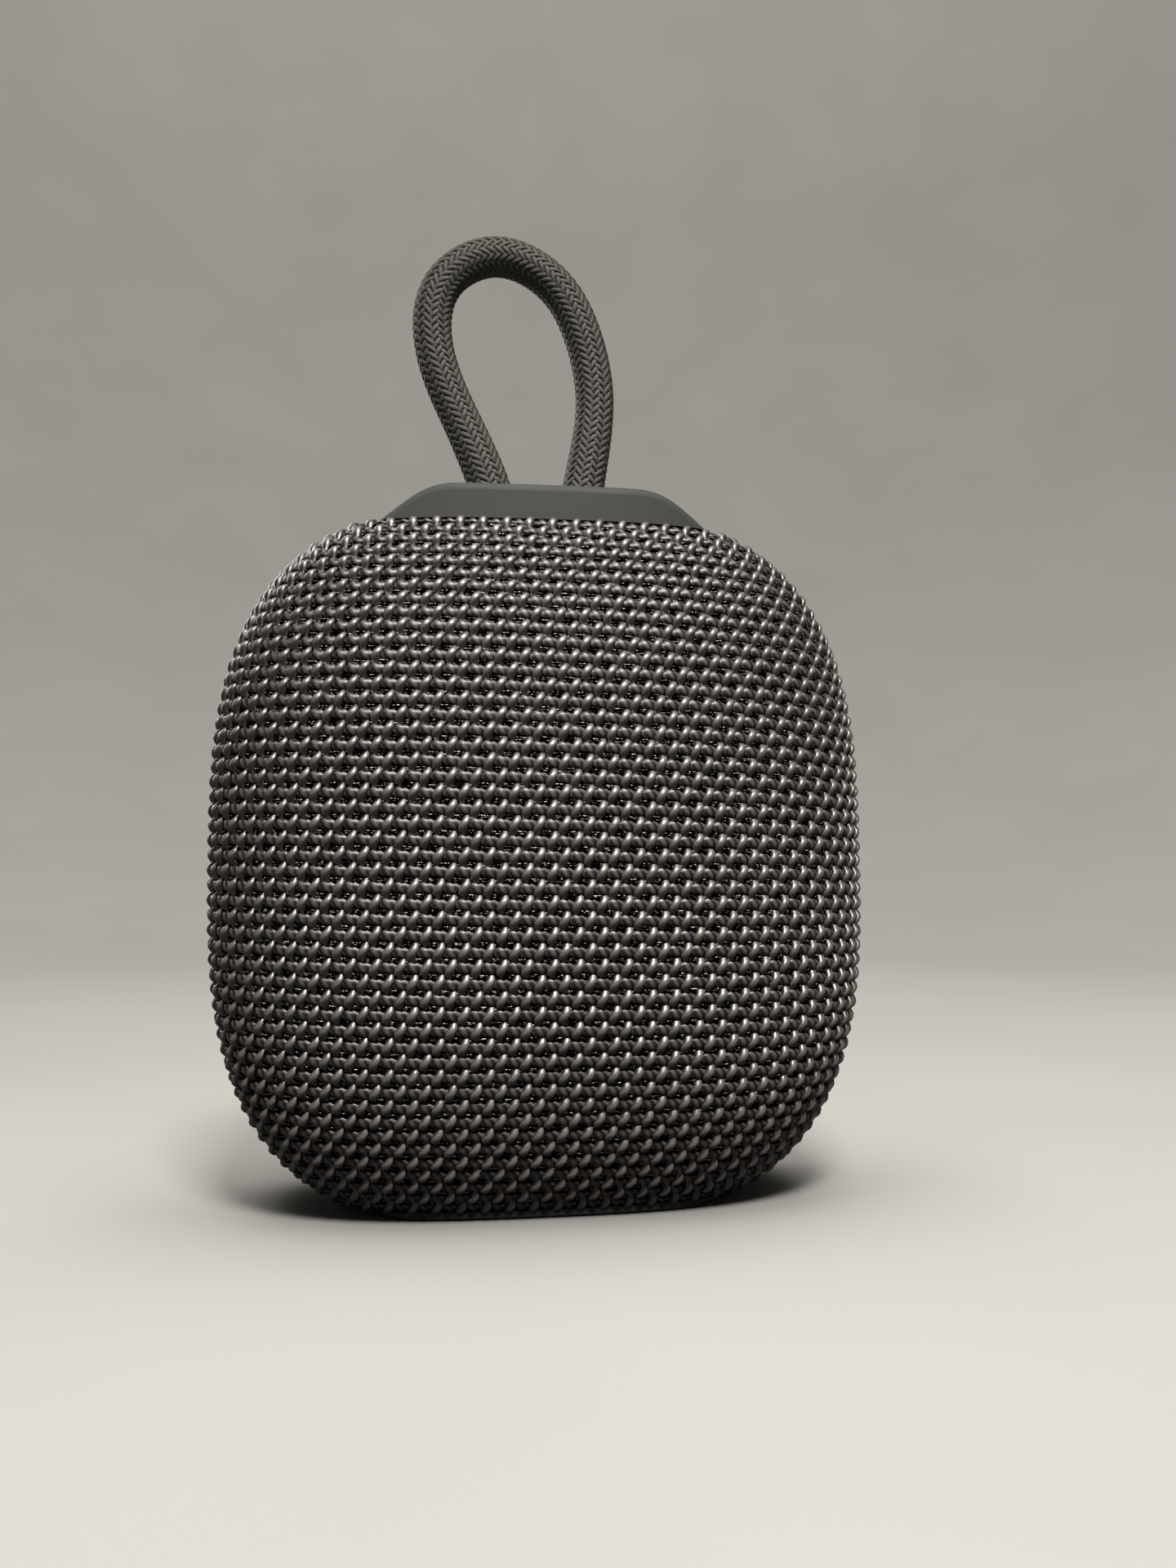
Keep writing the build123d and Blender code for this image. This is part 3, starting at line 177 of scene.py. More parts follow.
WARP_PITCH = 1.64
WARP_WAVE = 0.42
WARP_HALF_WIDTH = 0.68
WARP_HALF_THICK = 0.42
WARP_LEAN = 0.30  # sideways swing, which makes the crowns lean to the right
WARP_NECK = 0.50  # how narrow a yarn gets where another passes over it
WARP_FLAT = 0.4  # share of the thickness that a pinched yarn keeps
WARP_DIP = 0.06  # how far a warp yarn drops into the gap between two rows
WARP_RIDGE = 0.15  # height of the two twisted plies over the yarn's mean radius
PLY_TURN = 0.3  # the warp's ply, with the painted highlight on it, lies this far round to the left at a crown
WEFT_PITCH = 2.07
WEFT_WAVE = 0.18
WEFT_HALF_WIDTH = 0.70
WEFT_HALF_THICK = 0.32
WEFT_LEAN = 0.06
WEFT_NECK = 0.75
WEFT_RIDGE = 0.12
WEFT_TWIST = 1.5  # turns of the weft's plies for each turn of the weave
BINDER_RADIUS = 0.075
BINDER_SPLIT = 0.14  # half the distance between the two threads of a gap
BINDER_WAVE = 0.18
ROW_SLOPE = 0.012  # the rows fall slightly to the right
# slow wander of a yarn: amplitude and radians per millimetre
WARP_WANDER = (0.06, 0.11)
WEFT_WANDER = (0.07, 0.09)
BINDER_WANDER = (0.06, 1.3)
YARN_SIDES = 10
YARN_STEPS = 6  # points along a yarn for each pitch
BINDER_SIDES = 4
BINDER_STEPS = 4
WEAVE_SEED = 7


class Cover:
    """Surface of the cloth: s runs round the body from the front's middle, t runs up it."""

    ROWS = 241
    COLUMNS = 401
    FINE = 1441
    BISECTIONS = 48

    def __init__(self, inset):
        self.a = HALF_WIDTH - inset
        self.b = HALF_DEPTH - inset
        self.c = HALF_HEIGHT - inset
        heights = np.linspace(0, FABRIC_EDGE, self.FINE)
        depths = self.b * (1 - (heights / self.c) ** FRONT_POWER) ** (1 / FRONT_POWER)
        lengths = lengths_along(np.hypot(np.diff(heights), np.diff(depths)))
        self.t_edge = lengths[-1]
        self.t = np.linspace(-self.t_edge, self.t_edge, self.ROWS)
        self.z = np.sign(self.t) * np.interp(np.abs(self.t), lengths, heights)
        self.build_sections()

    def radius(self, angle, lift):
        """Distance from the axis to the surface at an angle from the front, by bisection."""
        power = np.where(np.cos(angle) > 0, FRONT_POWER, BACK_POWER)
        low = np.zeros(np.broadcast(angle, lift).shape)
        high = np.full_like(low, 2 * self.a)
        for _ in range(self.BISECTIONS):
            middle = (low + high) / 2
            across = (middle * np.abs(np.sin(angle)) / self.a) ** CORNER_POWER + lift
            depth = (middle * np.abs(np.cos(angle)) / self.b) ** power
            inside = across ** (power / CORNER_POWER) + depth < 1
            low = np.where(inside, middle, low)
            high = np.where(inside, high, middle)
        return low

    def build_sections(self):
        """Tables of places and normals over even steps of s and t, for the right-hand half."""
        angle = np.linspace(0, math.pi, self.FINE)[None, :]
        lift = (np.abs(self.z) / self.c)[:, None] ** CORNER_POWER
        reach = self.radius(angle, lift)
        x = reach * np.sin(angle)
        y = -reach * np.cos(angle)
        steps = np.hypot(np.diff(x, axis=1), np.diff(y, axis=1))
        lengths = np.concatenate([np.zeros((self.ROWS, 1)), np.cumsum(steps, axis=1)], axis=1)
        self.s_edge = np.empty(self.ROWS)
        for row in range(self.ROWS):
            back = np.nonzero((y[row] > 0) & (x[row] < BAND_EDGE))[0]
            self.s_edge[row] = lengths[row, back[0]] if len(back) else lengths[row, -1]
        self.s_max = self.s_edge.max()
        columns = np.linspace(0, self.s_max, self.COLUMNS)
        self.places = np.empty((self.ROWS, self.COLUMNS, 3))
        for row in range(self.ROWS):
            self.places[row, :, 0] = np.interp(columns, lengths[row], x[row])
            self.places[row, :, 1] = np.interp(columns, lengths[row], y[row])
            self.places[row, :, 2] = self.z[row]
        up = np.gradient(self.places, axis=0)
        round_body = np.gradient(self.places, axis=1)
        self.normals = unit(np.cross(round_body, up))

    def sample(self, table, s, t):
        """Bilinear reading of a table over (t, s)."""
        row = np.clip((t + self.t_edge) / (2 * self.t_edge) * (self.ROWS - 1), 0, self.ROWS - 1.001)
        column = np.clip(s / self.s_max * (self.COLUMNS - 1), 0, self.COLUMNS - 1.001)
        i = row.astype(int)
        j = column.astype(int)
        u = (row - i)[..., None]
        v = (column - j)[..., None]
        low = table[i, j] * (1 - v) + table[i, j + 1] * v
        high = table[i + 1, j] * (1 - v) + table[i + 1, j + 1] * v
        return low * (1 - u) + high * u

    def room(self, s, t):
        """Distance inside the nearest edge of the cloth, negative beyond it."""
        edge_s = np.interp(t, self.t, self.s_edge)
        return np.minimum(self.t_edge - np.abs(t), edge_s - np.abs(s))

    def point(self, s, t):
        """Place and outward direction, with the cloth's edges turned in."""
        t_in = np.clip(t, -self.t_edge, self.t_edge)
        s_in = np.minimum(np.abs(s), np.interp(t_in, self.t, self.s_edge))
        place = self.sample(self.places, s_in, t_in)
        normal = self.sample(self.normals, s_in, t_in)
        normal /= np.linalg.norm(normal, axis=-1, keepdims=True)
        side = np.where(s < 0, -1.0, 1.0)
        place[..., 0] *= side
        normal[..., 0] *= side
        room = self.room(s, t)
        bend = np.clip(HEM_RADIUS - room, 0, HEM_RADIUS)
        turn_in = HEM_RADIUS - np.sqrt(HEM_RADIUS**2 - bend**2) + np.maximum(-room, 0)
        return place - normal * turn_in[..., None], normal


def runs(mask, least=4):
    """Start and end of each unbroken stretch of True."""
    edges = np.flatnonzero(np.diff(np.concatenate([[0], mask.astype(int), [0]])))
    return [(a, b) for a, b in zip(edges[::2], edges[1::2]) if b - a >= least]


def lay_yarn(tubes, cover, s, t, lift, half_width, half_thick, across, twist=0.0, ridge=0.0):
    """One yarn along (s, t), lifted off the middle surface, with its width along the other direction."""
    probe = 0.05
    along = lengths_along(np.hypot(np.diff(s), np.diff(t)))
    half_width, half_thick, twist = (np.broadcast_to(v, s.shape) for v in (half_width, half_thick, twist))
    for start, end in runs(cover.room(s, t) > -HEM_DEPTH):
        part = slice(start, end)
        place, normal = cover.point(s[part], t[part])
        ahead, _ = cover.point(s[part] + probe * across[0], t[part] + probe * across[1])
        lateral = unit(ahead - place)
        outward = unit(np.cross(lateral, unit(np.gradient(place, axis=0))))
        outward *= np.sign(np.sum(outward * normal, axis=1, keepdims=True) + 1e-9)
        path = place + outward * lift[part, None]
        tangent = unit(np.gradient(path, axis=0))
        lateral = unit(lateral - tangent * np.sum(lateral * tangent, axis=1, keepdims=True))
        up = np.cross(tangent, lateral)
        up *= np.sign(np.sum(up * outward, axis=1, keepdims=True) + 1e-9)
        tubes.add(path, lateral, up, half_width[part], half_thick[part], along[part], twist[part], ridge)


def swell(crown, neck):
    """Yarn width factor: full on a crown, pinched where another yarn passes over."""
    return neck + (1 - neck) * np.clip(crown, 0, 1) ** 0.5


def wander(random, places, amplitude, rate):
    """Slow sideways drift of one yarn, from a random start."""
    return amplitude * np.sin(places * rate + random.uniform(0, 6))


def lay_warp(tubes, cover, random, reach_s, reach_t):
    """The yarns that run up the body; their leaning crowns are what shows most."""
    columns = int(reach_s / WARP_PITCH) + 1
    t = np.linspace(-reach_t, reach_t, int(2 * reach_t / WEFT_PITCH * YARN_STEPS))
    for i in range(-columns, columns):
        s = (i + 0.5) * WARP_PITCH + wander(random, t, *WARP_WANDER)
        phase = math.pi * ((t + ROW_SLOPE * s) / WEFT_PITCH + i)
        crown = np.cos(phase)
        s = s + WARP_LEAN * np.sin(phase)
        full = swell(crown, WARP_NECK)
        lift = WARP_WAVE * crown - WARP_DIP * np.sin(phase) ** 2
        width = WARP_HALF_WIDTH * full
        thick = WARP_HALF_THICK * (WARP_FLAT + (1 - WARP_FLAT) * full)
        lay_yarn(tubes, cover, s, t, lift, width, thick, (1, 0), phase - PLY_TURN, WARP_RIDGE)


def lay_weft(tubes, cover, random, reach_s, reach_t):
    """The yarns that run round the body, under and over the warp."""
    rows = int(reach_t / WEFT_PITCH) + 1
    s = np.linspace(-reach_s, reach_s, int(2 * reach_s / WARP_PITCH * YARN_STEPS))
    for j in range(-rows, rows + 1):
        t = j * WEFT_PITCH - ROW_SLOPE * s + wander(random, s, *WEFT_WANDER)
        phase = math.pi * (s / WARP_PITCH - 0.5 + j)
        crown = -np.cos(phase)
        t = t + WEFT_LEAN * np.sin(phase)
        width = WEFT_HALF_WIDTH * swell(crown, WEFT_NECK)
        twist = WEFT_TWIST * (math.pi - phase)
        lay_yarn(tubes, cover, s, t, WEFT_WAVE * crown, width, WEFT_HALF_THICK, (0, 1), twist, WEFT_RIDGE)


def lay_binder(tubes, cover, random, reach_s, reach_t):
    """Two fine threads in each gap between weft rows."""
    rows = int(reach_t / WEFT_PITCH) + 1
    s = np.linspace(-reach_s, reach_s, int(2 * reach_s / WARP_PITCH * BINDER_STEPS))
    for j in range(-rows, rows):
        for side in (-1, 1):
            t = (j + 0.5) * WEFT_PITCH - ROW_SLOPE * s + side * BINDER_SPLIT
            t = t + wander(random, s, *BINDER_WANDER)
            lift = BINDER_WAVE * np.cos(math.pi * (s / WARP_PITCH - 0.5 + j + 0.5 * side))
            lay_yarn(tubes, cover, s, t, lift, BINDER_RADIUS, BINDER_RADIUS, (0, 1))


def weave_cover():
    """Warp, weft and binder yarns of a plain weave over the pillow."""
    cover = Cover(MID_INSET)
    random = np.random.default_rng(WEAVE_SEED)
    reach = (cover.s_max + 2 * HEM_DEPTH, cover.t_edge + 2 * HEM_DEPTH)
    warp = Tubes(YARN_SIDES)
    lay_warp(warp, cover, random, *reach)
    weft = Tubes(YARN_SIDES)
    lay_weft(weft, cover, random, *reach)
    binder = Tubes(BINDER_SIDES)
    lay_binder(binder, cover, random, *reach)
    return warp.build("fabric_warp"), weft.build("fabric_weft"), binder.build("fabric_binder")


LINER_INSET = 1.25
LINER_THICKNESS = 0.1
LINER_ROWS = 120
LINER_COLUMNS = 240
LINER_MARGIN_T = 0.5  # the liner stops this far short of the cloth's edges
LINER_MARGIN_S = 0.3


def liner():
    """Thin dark backing cloth behind the weave, as a closed sheet; its near-black colour is partly painted
    shade for the gaps between yarns.
    """
    cover = Cover(LINER_INSET)
    t = np.linspace(-1, 1, LINER_ROWS) * (cover.t_edge - LINER_MARGIN_T)
    rows, columns = np.meshgrid(t, np.linspace(-1, 1, LINER_COLUMNS), indexing="ij")
    edge = np.interp(rows, cover.t, cover.s_edge)
    place, normal = cover.point(columns * (edge - LINER_MARGIN_S), rows)
    outer = place.reshape(-1, 3)
    inner = (place - normal * LINER_THICKNESS).reshape(-1, 3)
    count = len(outer)
    index = np.arange(count).reshape(rows.shape)
    quads = np.stack([index[:-1, :-1], index[:-1, 1:], index[1:, 1:], index[1:, :-1]], -1).reshape(-1, 4)
    rim = np.concatenate([index[0, :], index[1:, -1], index[-1, -2::-1], index[-2:0:-1, 0]])
    after = np.roll(rim, -1)
    wall = np.stack([after, rim, rim + count, after + count], -1)
    places = to_world(np.concatenate([outer, inner]))
    obj = mesh_object("fabric_liner", places, quads, quads[:, ::-1] + count, wall)
    obj.data.update(calc_edges=True)
    return obj


# ------------------------------------------------------------------ rope

ROPE_X = 7.0  # each leg's distance from the middle
ROPE_RADIUS = 3.05
ROPE_Y = (rope_low.y + rope_high.y) / 2 / MM
ROPE_START = (rope_end_low.z - CENTER_Z) / MM
ROPE_CAP = (CAP_TOP - CENTER_Z) / MM
ROPE_HINGE = ROPE_CAP + 3.3
LEG_SPREAD_LEFT = 0.2  # how far each leg has moved out at the hinge
LEG_SPREAD_RIGHT = 0.1
LOOP_LEFT = [(-11.5, 67.3), (-14.8, 75.0), (-16.2, 82.8), (-14.0, 90.1), (-6.1, 94.3)]
LOOP_RIGHT = [(2.1, 90.9), (6.3, 84.9), (8.6, 77.4), (9.0, 68.2)]
BRAID_STRANDS = 16  # in each of the two directions
BRAID_TURN = 19.0  # length in which a strand goes once round
BRAID_WAVE = 0.10
BRAID_STEPS = 3  # points for each crossing
STRAND_SIDES = 6
STRAND_HALF_WIDTH = 0.38
STRAND_HALF_THICK = 0.18
ROOT_SWELL = 0.13  # the rope is fuller just above the cap
ROOT_RISE = 1.2
ROOT_LENGTH = 15.0
SPLINE_POINTS = 60  # between two given points


def second_slopes(points, gaps):
    """Second derivatives of a natural cubic spline at its points."""
    count = len(points)
    system = np.eye(count)
    right = np.zeros_like(points)
    for i in range(1, count - 1):
        system[i, i - 1 : i + 2] = [gaps[i - 1], 2 * (gaps[i - 1] + gaps[i]), gaps[i]]
        slope_after = (points[i + 1] - points[i]) / gaps[i]
        slope_before = (points[i] - points[i - 1]) / gaps[i - 1]
        right[i] = 6 * (slope_after - slope_before)
    return np.linalg.solve(system, right)


def smooth_path(points, step):
    """Even points along a natural cubic spline through the given points, and the length at each."""
    points = np.array(points, float)
    gaps = np.diff(lengths_along(np.linalg.norm(np.diff(points, axis=0), axis=1) ** 0.5))
    curve = second_slopes(points, gaps)
    last = len(points) - 2
    places = []
    for i in range(last + 1):
        u = np.linspace(0, gaps[i], SPLINE_POINTS, endpoint=i == last)[:, None]
        v = gaps[i] - u
        places.append(
            (curve[i] * v**3 + curve[i + 1] * u**3) / (6 * gaps[i])
            + (points[i] / gaps[i] - curve[i] * gaps[i] / 6) * v
            + (points[i + 1] / gaps[i] - curve[i + 1] * gaps[i] / 6) * u
        )
    dense = np.concatenate(places)
    lengths = lengths_along(np.linalg.norm(np.diff(dense, axis=0), axis=1))
    even = np.linspace(0, lengths[-1], int(lengths[-1] / step))
    return np.stack([np.interp(even, lengths, dense[:, k]) for k in range(2)], axis=1), even


def braid_rope():
    """The whole rope from crimp to crimp: a core, and strands crossing two over and two under."""
    root = [ROPE_START, (ROPE_START + ROPE_CAP) / 2, ROPE_CAP]
    left = [(-ROPE_X, height) for height in root] + [(-ROPE_X - LEG_SPREAD_LEFT, ROPE_HINGE)]
    right = [(ROPE_X + LEG_SPREAD_RIGHT, ROPE_HINGE)] + [(ROPE_X, height) for height in reversed(root)]
    crossing = BRAID_TURN / (2 * BRAID_STRANDS)
    path, along = smooth_path(left + LOOP_LEFT + LOOP_RIGHT + right, crossing / BRAID_STEPS)
    center = np.stack([path[:, 0], np.full(len(path), ROPE_Y), path[:, 1]], axis=1)
    front = np.tile(np.array([0.0, -1.0, 0.0]), (len(center), 1))
    side = np.cross(unit(np.gradient(center, axis=0)), front)
    above = path[:, 1] - ROPE_CAP
    fuller = np.clip(above / ROOT_RISE, 0, 1) * np.clip(1 - above / ROOT_LENGTH, 0, 1)
    middle_radius = (ROPE_RADIUS - STRAND_HALF_THICK - BRAID_WAVE) * (1 + ROOT_SWELL * fuller)
    strands = Tubes(STRAND_SIDES)
    for way in (1, -1):
        for k in range(BRAID_STRANDS):
            angle = way * 2 * math.pi * along / BRAID_TURN + 2 * math.pi * k / BRAID_STRANDS
            lift = way * BRAID_WAVE * np.cos(math.pi / 2 * (2 * k + way * along / crossing - 0.5))
            radial = front * np.cos(angle)[:, None] + side * np.sin(angle)[:, None]
            line = center + radial * (middle_radius + lift)[:, None]
            lateral = unit(np.cross(unit(np.gradient(line, axis=0)), radial))
            strands.add(line, lateral, radial, STRAND_HALF_WIDTH, STRAND_HALF_THICK, along)
    strands.add(center, side, front, middle_radius, middle_radius, along)
    return strands.build("braided_rope")


# ------------------------------------------------------------------ materials


class Nodes:
    """Short-hand for building a node material."""

    def __init__(self, name):
        self.material = bpy.data.materials.new(name)
        self.material.use_nodes = True
        self.tree = self.material.node_tree
        self.tree.nodes.clear()
        output = self.tree.nodes.new("ShaderNodeOutputMaterial")
        self.shader = self.tree.nodes.new("ShaderNodeBsdfPrincipled")
        self.tree.links.new(self.shader.outputs[0], output.inputs[0])

    def add(self, kind, inputs=None, **settings):
        """A node with its inputs and settings."""
        node = self.tree.nodes.new("ShaderNode" + kind)
        for key, value in settings.items():
            setattr(node, key, value)
        for key, value in (inputs or {}).items():
            self.set(node.inputs[key], value)
        return node

    def set(self, socket, value):
        """Link an output to a socket, or give the socket a plain value."""
        if isinstance(value, bpy.types.NodeSocket):
            self.tree.links.new(value, socket)
        elif isinstance(value, tuple) and socket.type == "RGBA":
            socket.default_value = (*value, 1.0)
        else:
            socket.default_value = value

    def place(self):
        return self.add("NewGeometry").outputs["Position"]

    def math(self, operation, a, b=0.0):
        node = self.add("Math", operation=operation)
        self.set(node.inputs[0], a)
        self.set(node.inputs[1], b)
        return node.outputs[0]

    def noise(self, vector, scale, detail=3.0, roughness=0.5):
        inputs = {"Vector": vector, "Scale": scale, "Detail": detail, "Roughness": roughness}
        return self.add("TexNoise", inputs).outputs["Fac"]

    def cells(self, scale, output="Distance"):
        return self.add("TexVoronoi", {"Vector": self.place(), "Scale": scale}).outputs[output]

    def ramp(self, fac, *stops):
        """Colour ramp with its ends at the two (position, colour) stops."""
        node = self.add("ValToRGB", {"Fac": fac})
        for element, (position, colour) in zip(node.color_ramp.elements, stops):
            element.position = position
            element.color = (*colour, 1.0)
        return node.outputs["Color"]

    def range(self, value, low, high, start=0.0, end=1.0):
        """Map start..end to low..high."""
        inputs = {"Value": value, "From Min": start, "From Max": end, "To Min": low, "To Max": high}
        return self.add("MapRange", inputs).outputs[0]

    def mix(self, fac, a, b):
        """Colour mix from a to b."""
        node = self.add("Mix", {"Factor": fac}, data_type="RGBA", blend_type="MIX")
        self.set(node.inputs["A"], a)
        self.set(node.inputs["B"], b)
        return node.outputs["Result"]

    def bump(self, height, strength, distance):
        return self.add("Bump", {"Height": height, "Strength": strength, "Distance": distance}).outputs[0]

    def finish(self, **inputs):
        """Set the shader's inputs, named like base_color, and return the material."""
        for key, value in inputs.items():
            name = key.replace("_", " ").title().replace("Ior", "IOR")
            self.set(self.shader.inputs[name], value)
        return self.material


def yarn_material(name, dark, light, gloss, specular, ply_painted_light):
    """Twisted multi-filament yarn: ply crests painted lighter as a painted highlight, grooves painted darker
    as painted shade, fine filaments and small colour changes.
    """
    n = Nodes(name)
    split = n.add("SeparateXYZ", {"Vector": n.add("Attribute", attribute_name="yarn").outputs["Vector"]})
    along, helix, which = split.outputs
    # ply is 1 on each ply's crest and -1 in the groove between plies: through the ramp it paints a highlight
    # on the crests and shade in the grooves
    ply = n.math("COSINE", n.math("MULTIPLY", helix, 4 * math.pi))
    fibre_place = n.add(
        "CombineXYZ",
        {
            "X": n.math("MULTIPLY", helix, 30.0),
            "Y": n.math("MULTIPLY", along, 1.1),
            "Z": n.math("MULTIPLY", which, 3.7),
        },
    )
    fibre = n.noise(fibre_place.outputs[0], 1.0, roughness=0.6)
    patches = n.noise(n.place(), 90.0)
    yarn_tone = n.add("TexWhiteNoise", {"W": which}, noise_dimensions="1D").outputs["Value"]
    # colour tone: painted ply highlight and shade, plus the filaments' and each yarn's own random tone
    tone_and_ply_painted_light = n.math("ADD", n.math("MULTIPLY", ply, ply_painted_light), fibre)
    tone_and_ply_painted_light = n.math("ADD", tone_and_ply_painted_light, n.math("MULTIPLY", n.math("ADD", yarn_tone, patches), 0.12))
    return n.finish(
        base_color=n.ramp(tone_and_ply_painted_light, (0.35, dark), (0.95, light)),
        roughness=n.range(fibre, gloss - 0.08, gloss + 0.14, 0.3, 0.7),
        normal=n.bump(fibre, strength=0.5, distance=0.00006),
        specular_ior_level=specular,
        ior=1.8,
    )


def painted_glint_material(name):
    """Dark gap threads with scattered spots painted pale as glints; the same spots are also glossier and
    catch the real light.
    """
    n = Nodes(name)
    cells = n.add("TexVoronoi", {"Vector": n.place(), "Scale": 5200.0})
    pick = n.add("SeparateXYZ", {"Vector": cells.outputs["Color"]}).outputs[0]
    # the picked cells get a pale colour as a painted glint, and a higher specular as real gloss
    glint_spots = n.range(pick, 0.0, 1.0, 0.70, 0.80)
    return n.finish(
        base_color=n.mix(glint_spots, (0.002, 0.002, 0.002), (0.55, 0.54, 0.46)),
        roughness=0.3,
        specular_ior_level=n.range(glint_spots, 0.05, 1.0),
        normal=n.bump(cells.outputs["Distance"], strength=0.6, distance=0.00008),
    )


def shade(colour, factor):
    return tuple(channel * factor for channel in colour)


def silicone_material(name, base, rough=0.66):
    """Matte silicone: faint mottling, fine grain and slightly polished, dusty patches."""
    n = Nodes(name)
    place = n.place()
    cloud = n.noise(place, 45.0, detail=4.0)
    grain = n.noise(place, 5200.0, detail=2.0)
    fine = n.noise(place, 1400.0)
    wear = n.math("ADD", cloud, n.math("MULTIPLY", fine, 0.5))
    height = n.math("ADD", n.math("MULTIPLY", grain, 0.6), fine)
    return n.finish(
        base_color=n.mix(n.range(cloud, 0.0, 1.0, 0.3, 0.7), shade(base, 0.9), shade(base, 1.16)),
        roughness=n.range(wear, rough - 0.08, rough + 0.1, 0.4, 1.1),
        normal=n.bump(height, strength=0.16, distance=0.00006),
        specular_ior_level=0.25,
    )


def plastic_material(name, base, rough=0.45, grain=2600.0):
    """Moulded plastic with a fine spark-eroded grain."""
    n = Nodes(name)
    cloud = n.noise(n.place(), 70.0)
    return n.finish(
        base_color=n.mix(n.range(cloud, 0.0, 1.0, 0.3, 0.7), shade(base, 0.85), shade(base, 1.2)),
        roughness=n.range(cloud, rough - 0.06, rough + 0.08, 0.3, 0.7),
        normal=n.bump(n.cells(grain), strength=0.2, distance=0.00005),
    )


def metal_material(name, base, rough=0.3, streak=(60.0, 60.0, 2400.0)):
    """Worked metal with fine directional marks."""
    n = Nodes(name)
    place = n.place()
    stretched = n.add("Mapping", {"Vector": place, "Scale": streak}).outputs[0]
    marks = n.noise(stretched, 1.0, detail=5.0, roughness=0.6)
    stain = n.noise(place, 160.0)
    return n.finish(
        base_color=n.mix(n.range(stain, 0.0, 0.5, 0.45, 0.75), base, shade(base, 0.7)),
        metallic=1.0,
        roughness=n.range(marks, rough - 0.08, rough + 0.14, 0.3, 0.7),
        normal=n.bump(marks, strength=0.15, distance=0.00003),
    )


def foam_material(name, base):
    """Open-cell foam or felt, with painted shade darkening the middle of each cell where the bump sinks."""
    n = Nodes(name)
    cells = n.cells(1800.0)
    return n.finish(
        # cells near their middles are low in the bump and painted darker: painted shade in the pores
        base_color=n.ramp(cells, (0.1, shade(base, 0.3)), (0.6, base)),
        roughness=0.9,
        normal=n.bump(cells, strength=0.7, distance=0.0002),
        specular_ior_level=0.1,
    )


def board_material(name):
    """Circuit board: dark solder mask with traces and pads."""
    n = Nodes(name)
    place = n.place()
    layout = {"Vector": place, "Scale": 330.0, "Mortar Size": 0.06, "Brick Width": 0.9, "Row Height": 0.32}
    traces = n.add("TexBrick", layout).outputs["Fac"]
    cloud = n.noise(place, 240.0)
    mask = n.mix(n.range(cloud, 0.0, 1.0, 0.3, 0.7), (0.006, 0.05, 0.03), (0.01, 0.09, 0.05))
    return n.finish(
        base_color=n.mix(n.math("MULTIPLY", traces, 0.55), mask, (0.03, 0.2, 0.11)),
        roughness=0.32,
        normal=n.bump(traces, strength=0.25, distance=0.00004),
    )


def lens_material(name):
    """Frosted light pipe."""
    n = Nodes(name)
    haze = n.noise(n.place(), 1500.0)
    return n.finish(
        base_color=n.mix(haze, (0.75, 0.8, 0.85), (0.95, 0.97, 1.0)),
        roughness=n.range(haze, 0.25, 0.4),
        transmission_weight=0.6,
        normal=n.bump(haze, strength=0.2, distance=0.00004),
    )


SLOT_MATERIALS = {
    "silicone": silicone_material("silicone", (0.053, 0.056, 0.054)),
    "button_silicone": silicone_material("button_silicone", (0.046, 0.049, 0.047), rough=0.56),
    "black_plastic": plastic_material("black_plastic", (0.022, 0.022, 0.024)),
    "component": plastic_material("component", (0.02, 0.02, 0.022), rough=0.35, grain=5200.0),
    "steel": metal_material("steel", (0.56, 0.56, 0.57), rough=0.34),
    "nickel": metal_material("nickel", (0.66, 0.65, 0.62), rough=0.24, streak=(900.0, 90.0, 90.0)),
    "aluminium": metal_material("aluminium", (0.78, 0.78, 0.79)),
    "copper": metal_material("copper", (0.76, 0.36, 0.2), streak=(40.0, 6000.0, 40.0)),
    "cone_paper": foam_material("cone_paper", (0.035, 0.035, 0.037)),
    "surround_rubber": silicone_material("surround_rubber", (0.02, 0.02, 0.021), rough=0.45),
    "spider_cloth": foam_material("spider_cloth", (0.48, 0.3, 0.13)),
    "foam": foam_material("foam", (0.05, 0.05, 0.053)),
    "board": board_material("board"),
    "cell_wrap": plastic_material("cell_wrap", (0.03, 0.12, 0.33), rough=0.28, grain=900.0),
    "lead": plastic_material("lead", (0.45, 0.02, 0.02), rough=0.35, grain=1500.0),
    "flex": plastic_material("flex", (0.5, 0.2, 0.04), rough=0.3, grain=1300.0),
    "lens": lens_material("lens"),
    "rope": yarn_material("rope_plain", (0.02, 0.02, 0.02), (0.08, 0.08, 0.077), 0.5, 0.3, 0.25),
    "fabric": yarn_material("fabric_plain", (0.008, 0.007, 0.008), (0.04, 0.035, 0.038), 0.4, 0.8, 0.25),
}

for entry in frame["record"]["subparts"]:
    node = frame["nodes"][entry["node"]]
    node.data.materials.clear()
    node.data.materials.append(SLOT_MATERIALS[entry["material_slot"]])

# ------------------------------------------------------------------ soft pieces

# each yarn's colour runs from dark to light; on warp and weft the ply crests are pushed toward light as
# painted highlight and the grooves toward dark as painted shade
WARP_LOOK = {"dark": (0.004, 0.003, 0.004), "light": (0.122, 0.101, 0.096)}
WEFT_LOOK = {"dark": (0.0025, 0.002, 0.003), "light": (0.088, 0.075, 0.078)}
ROPE_LOOK = {"dark": (0.030, 0.0295, 0.0265), "light": (0.124, 0.119, 0.106)}

warp, weft, binder = weave_cover()
lining = liner()
warp.data.materials.append(yarn_material("warp_yarn", **WARP_LOOK, gloss=0.40, specular=0.85, ply_painted_light=0.42))
weft.data.materials.append(yarn_material("weft_yarn", **WEFT_LOOK, gloss=0.40, specular=0.4, ply_painted_light=0.45))
binder.data.materials.append(painted_glint_material("binder_thread"))
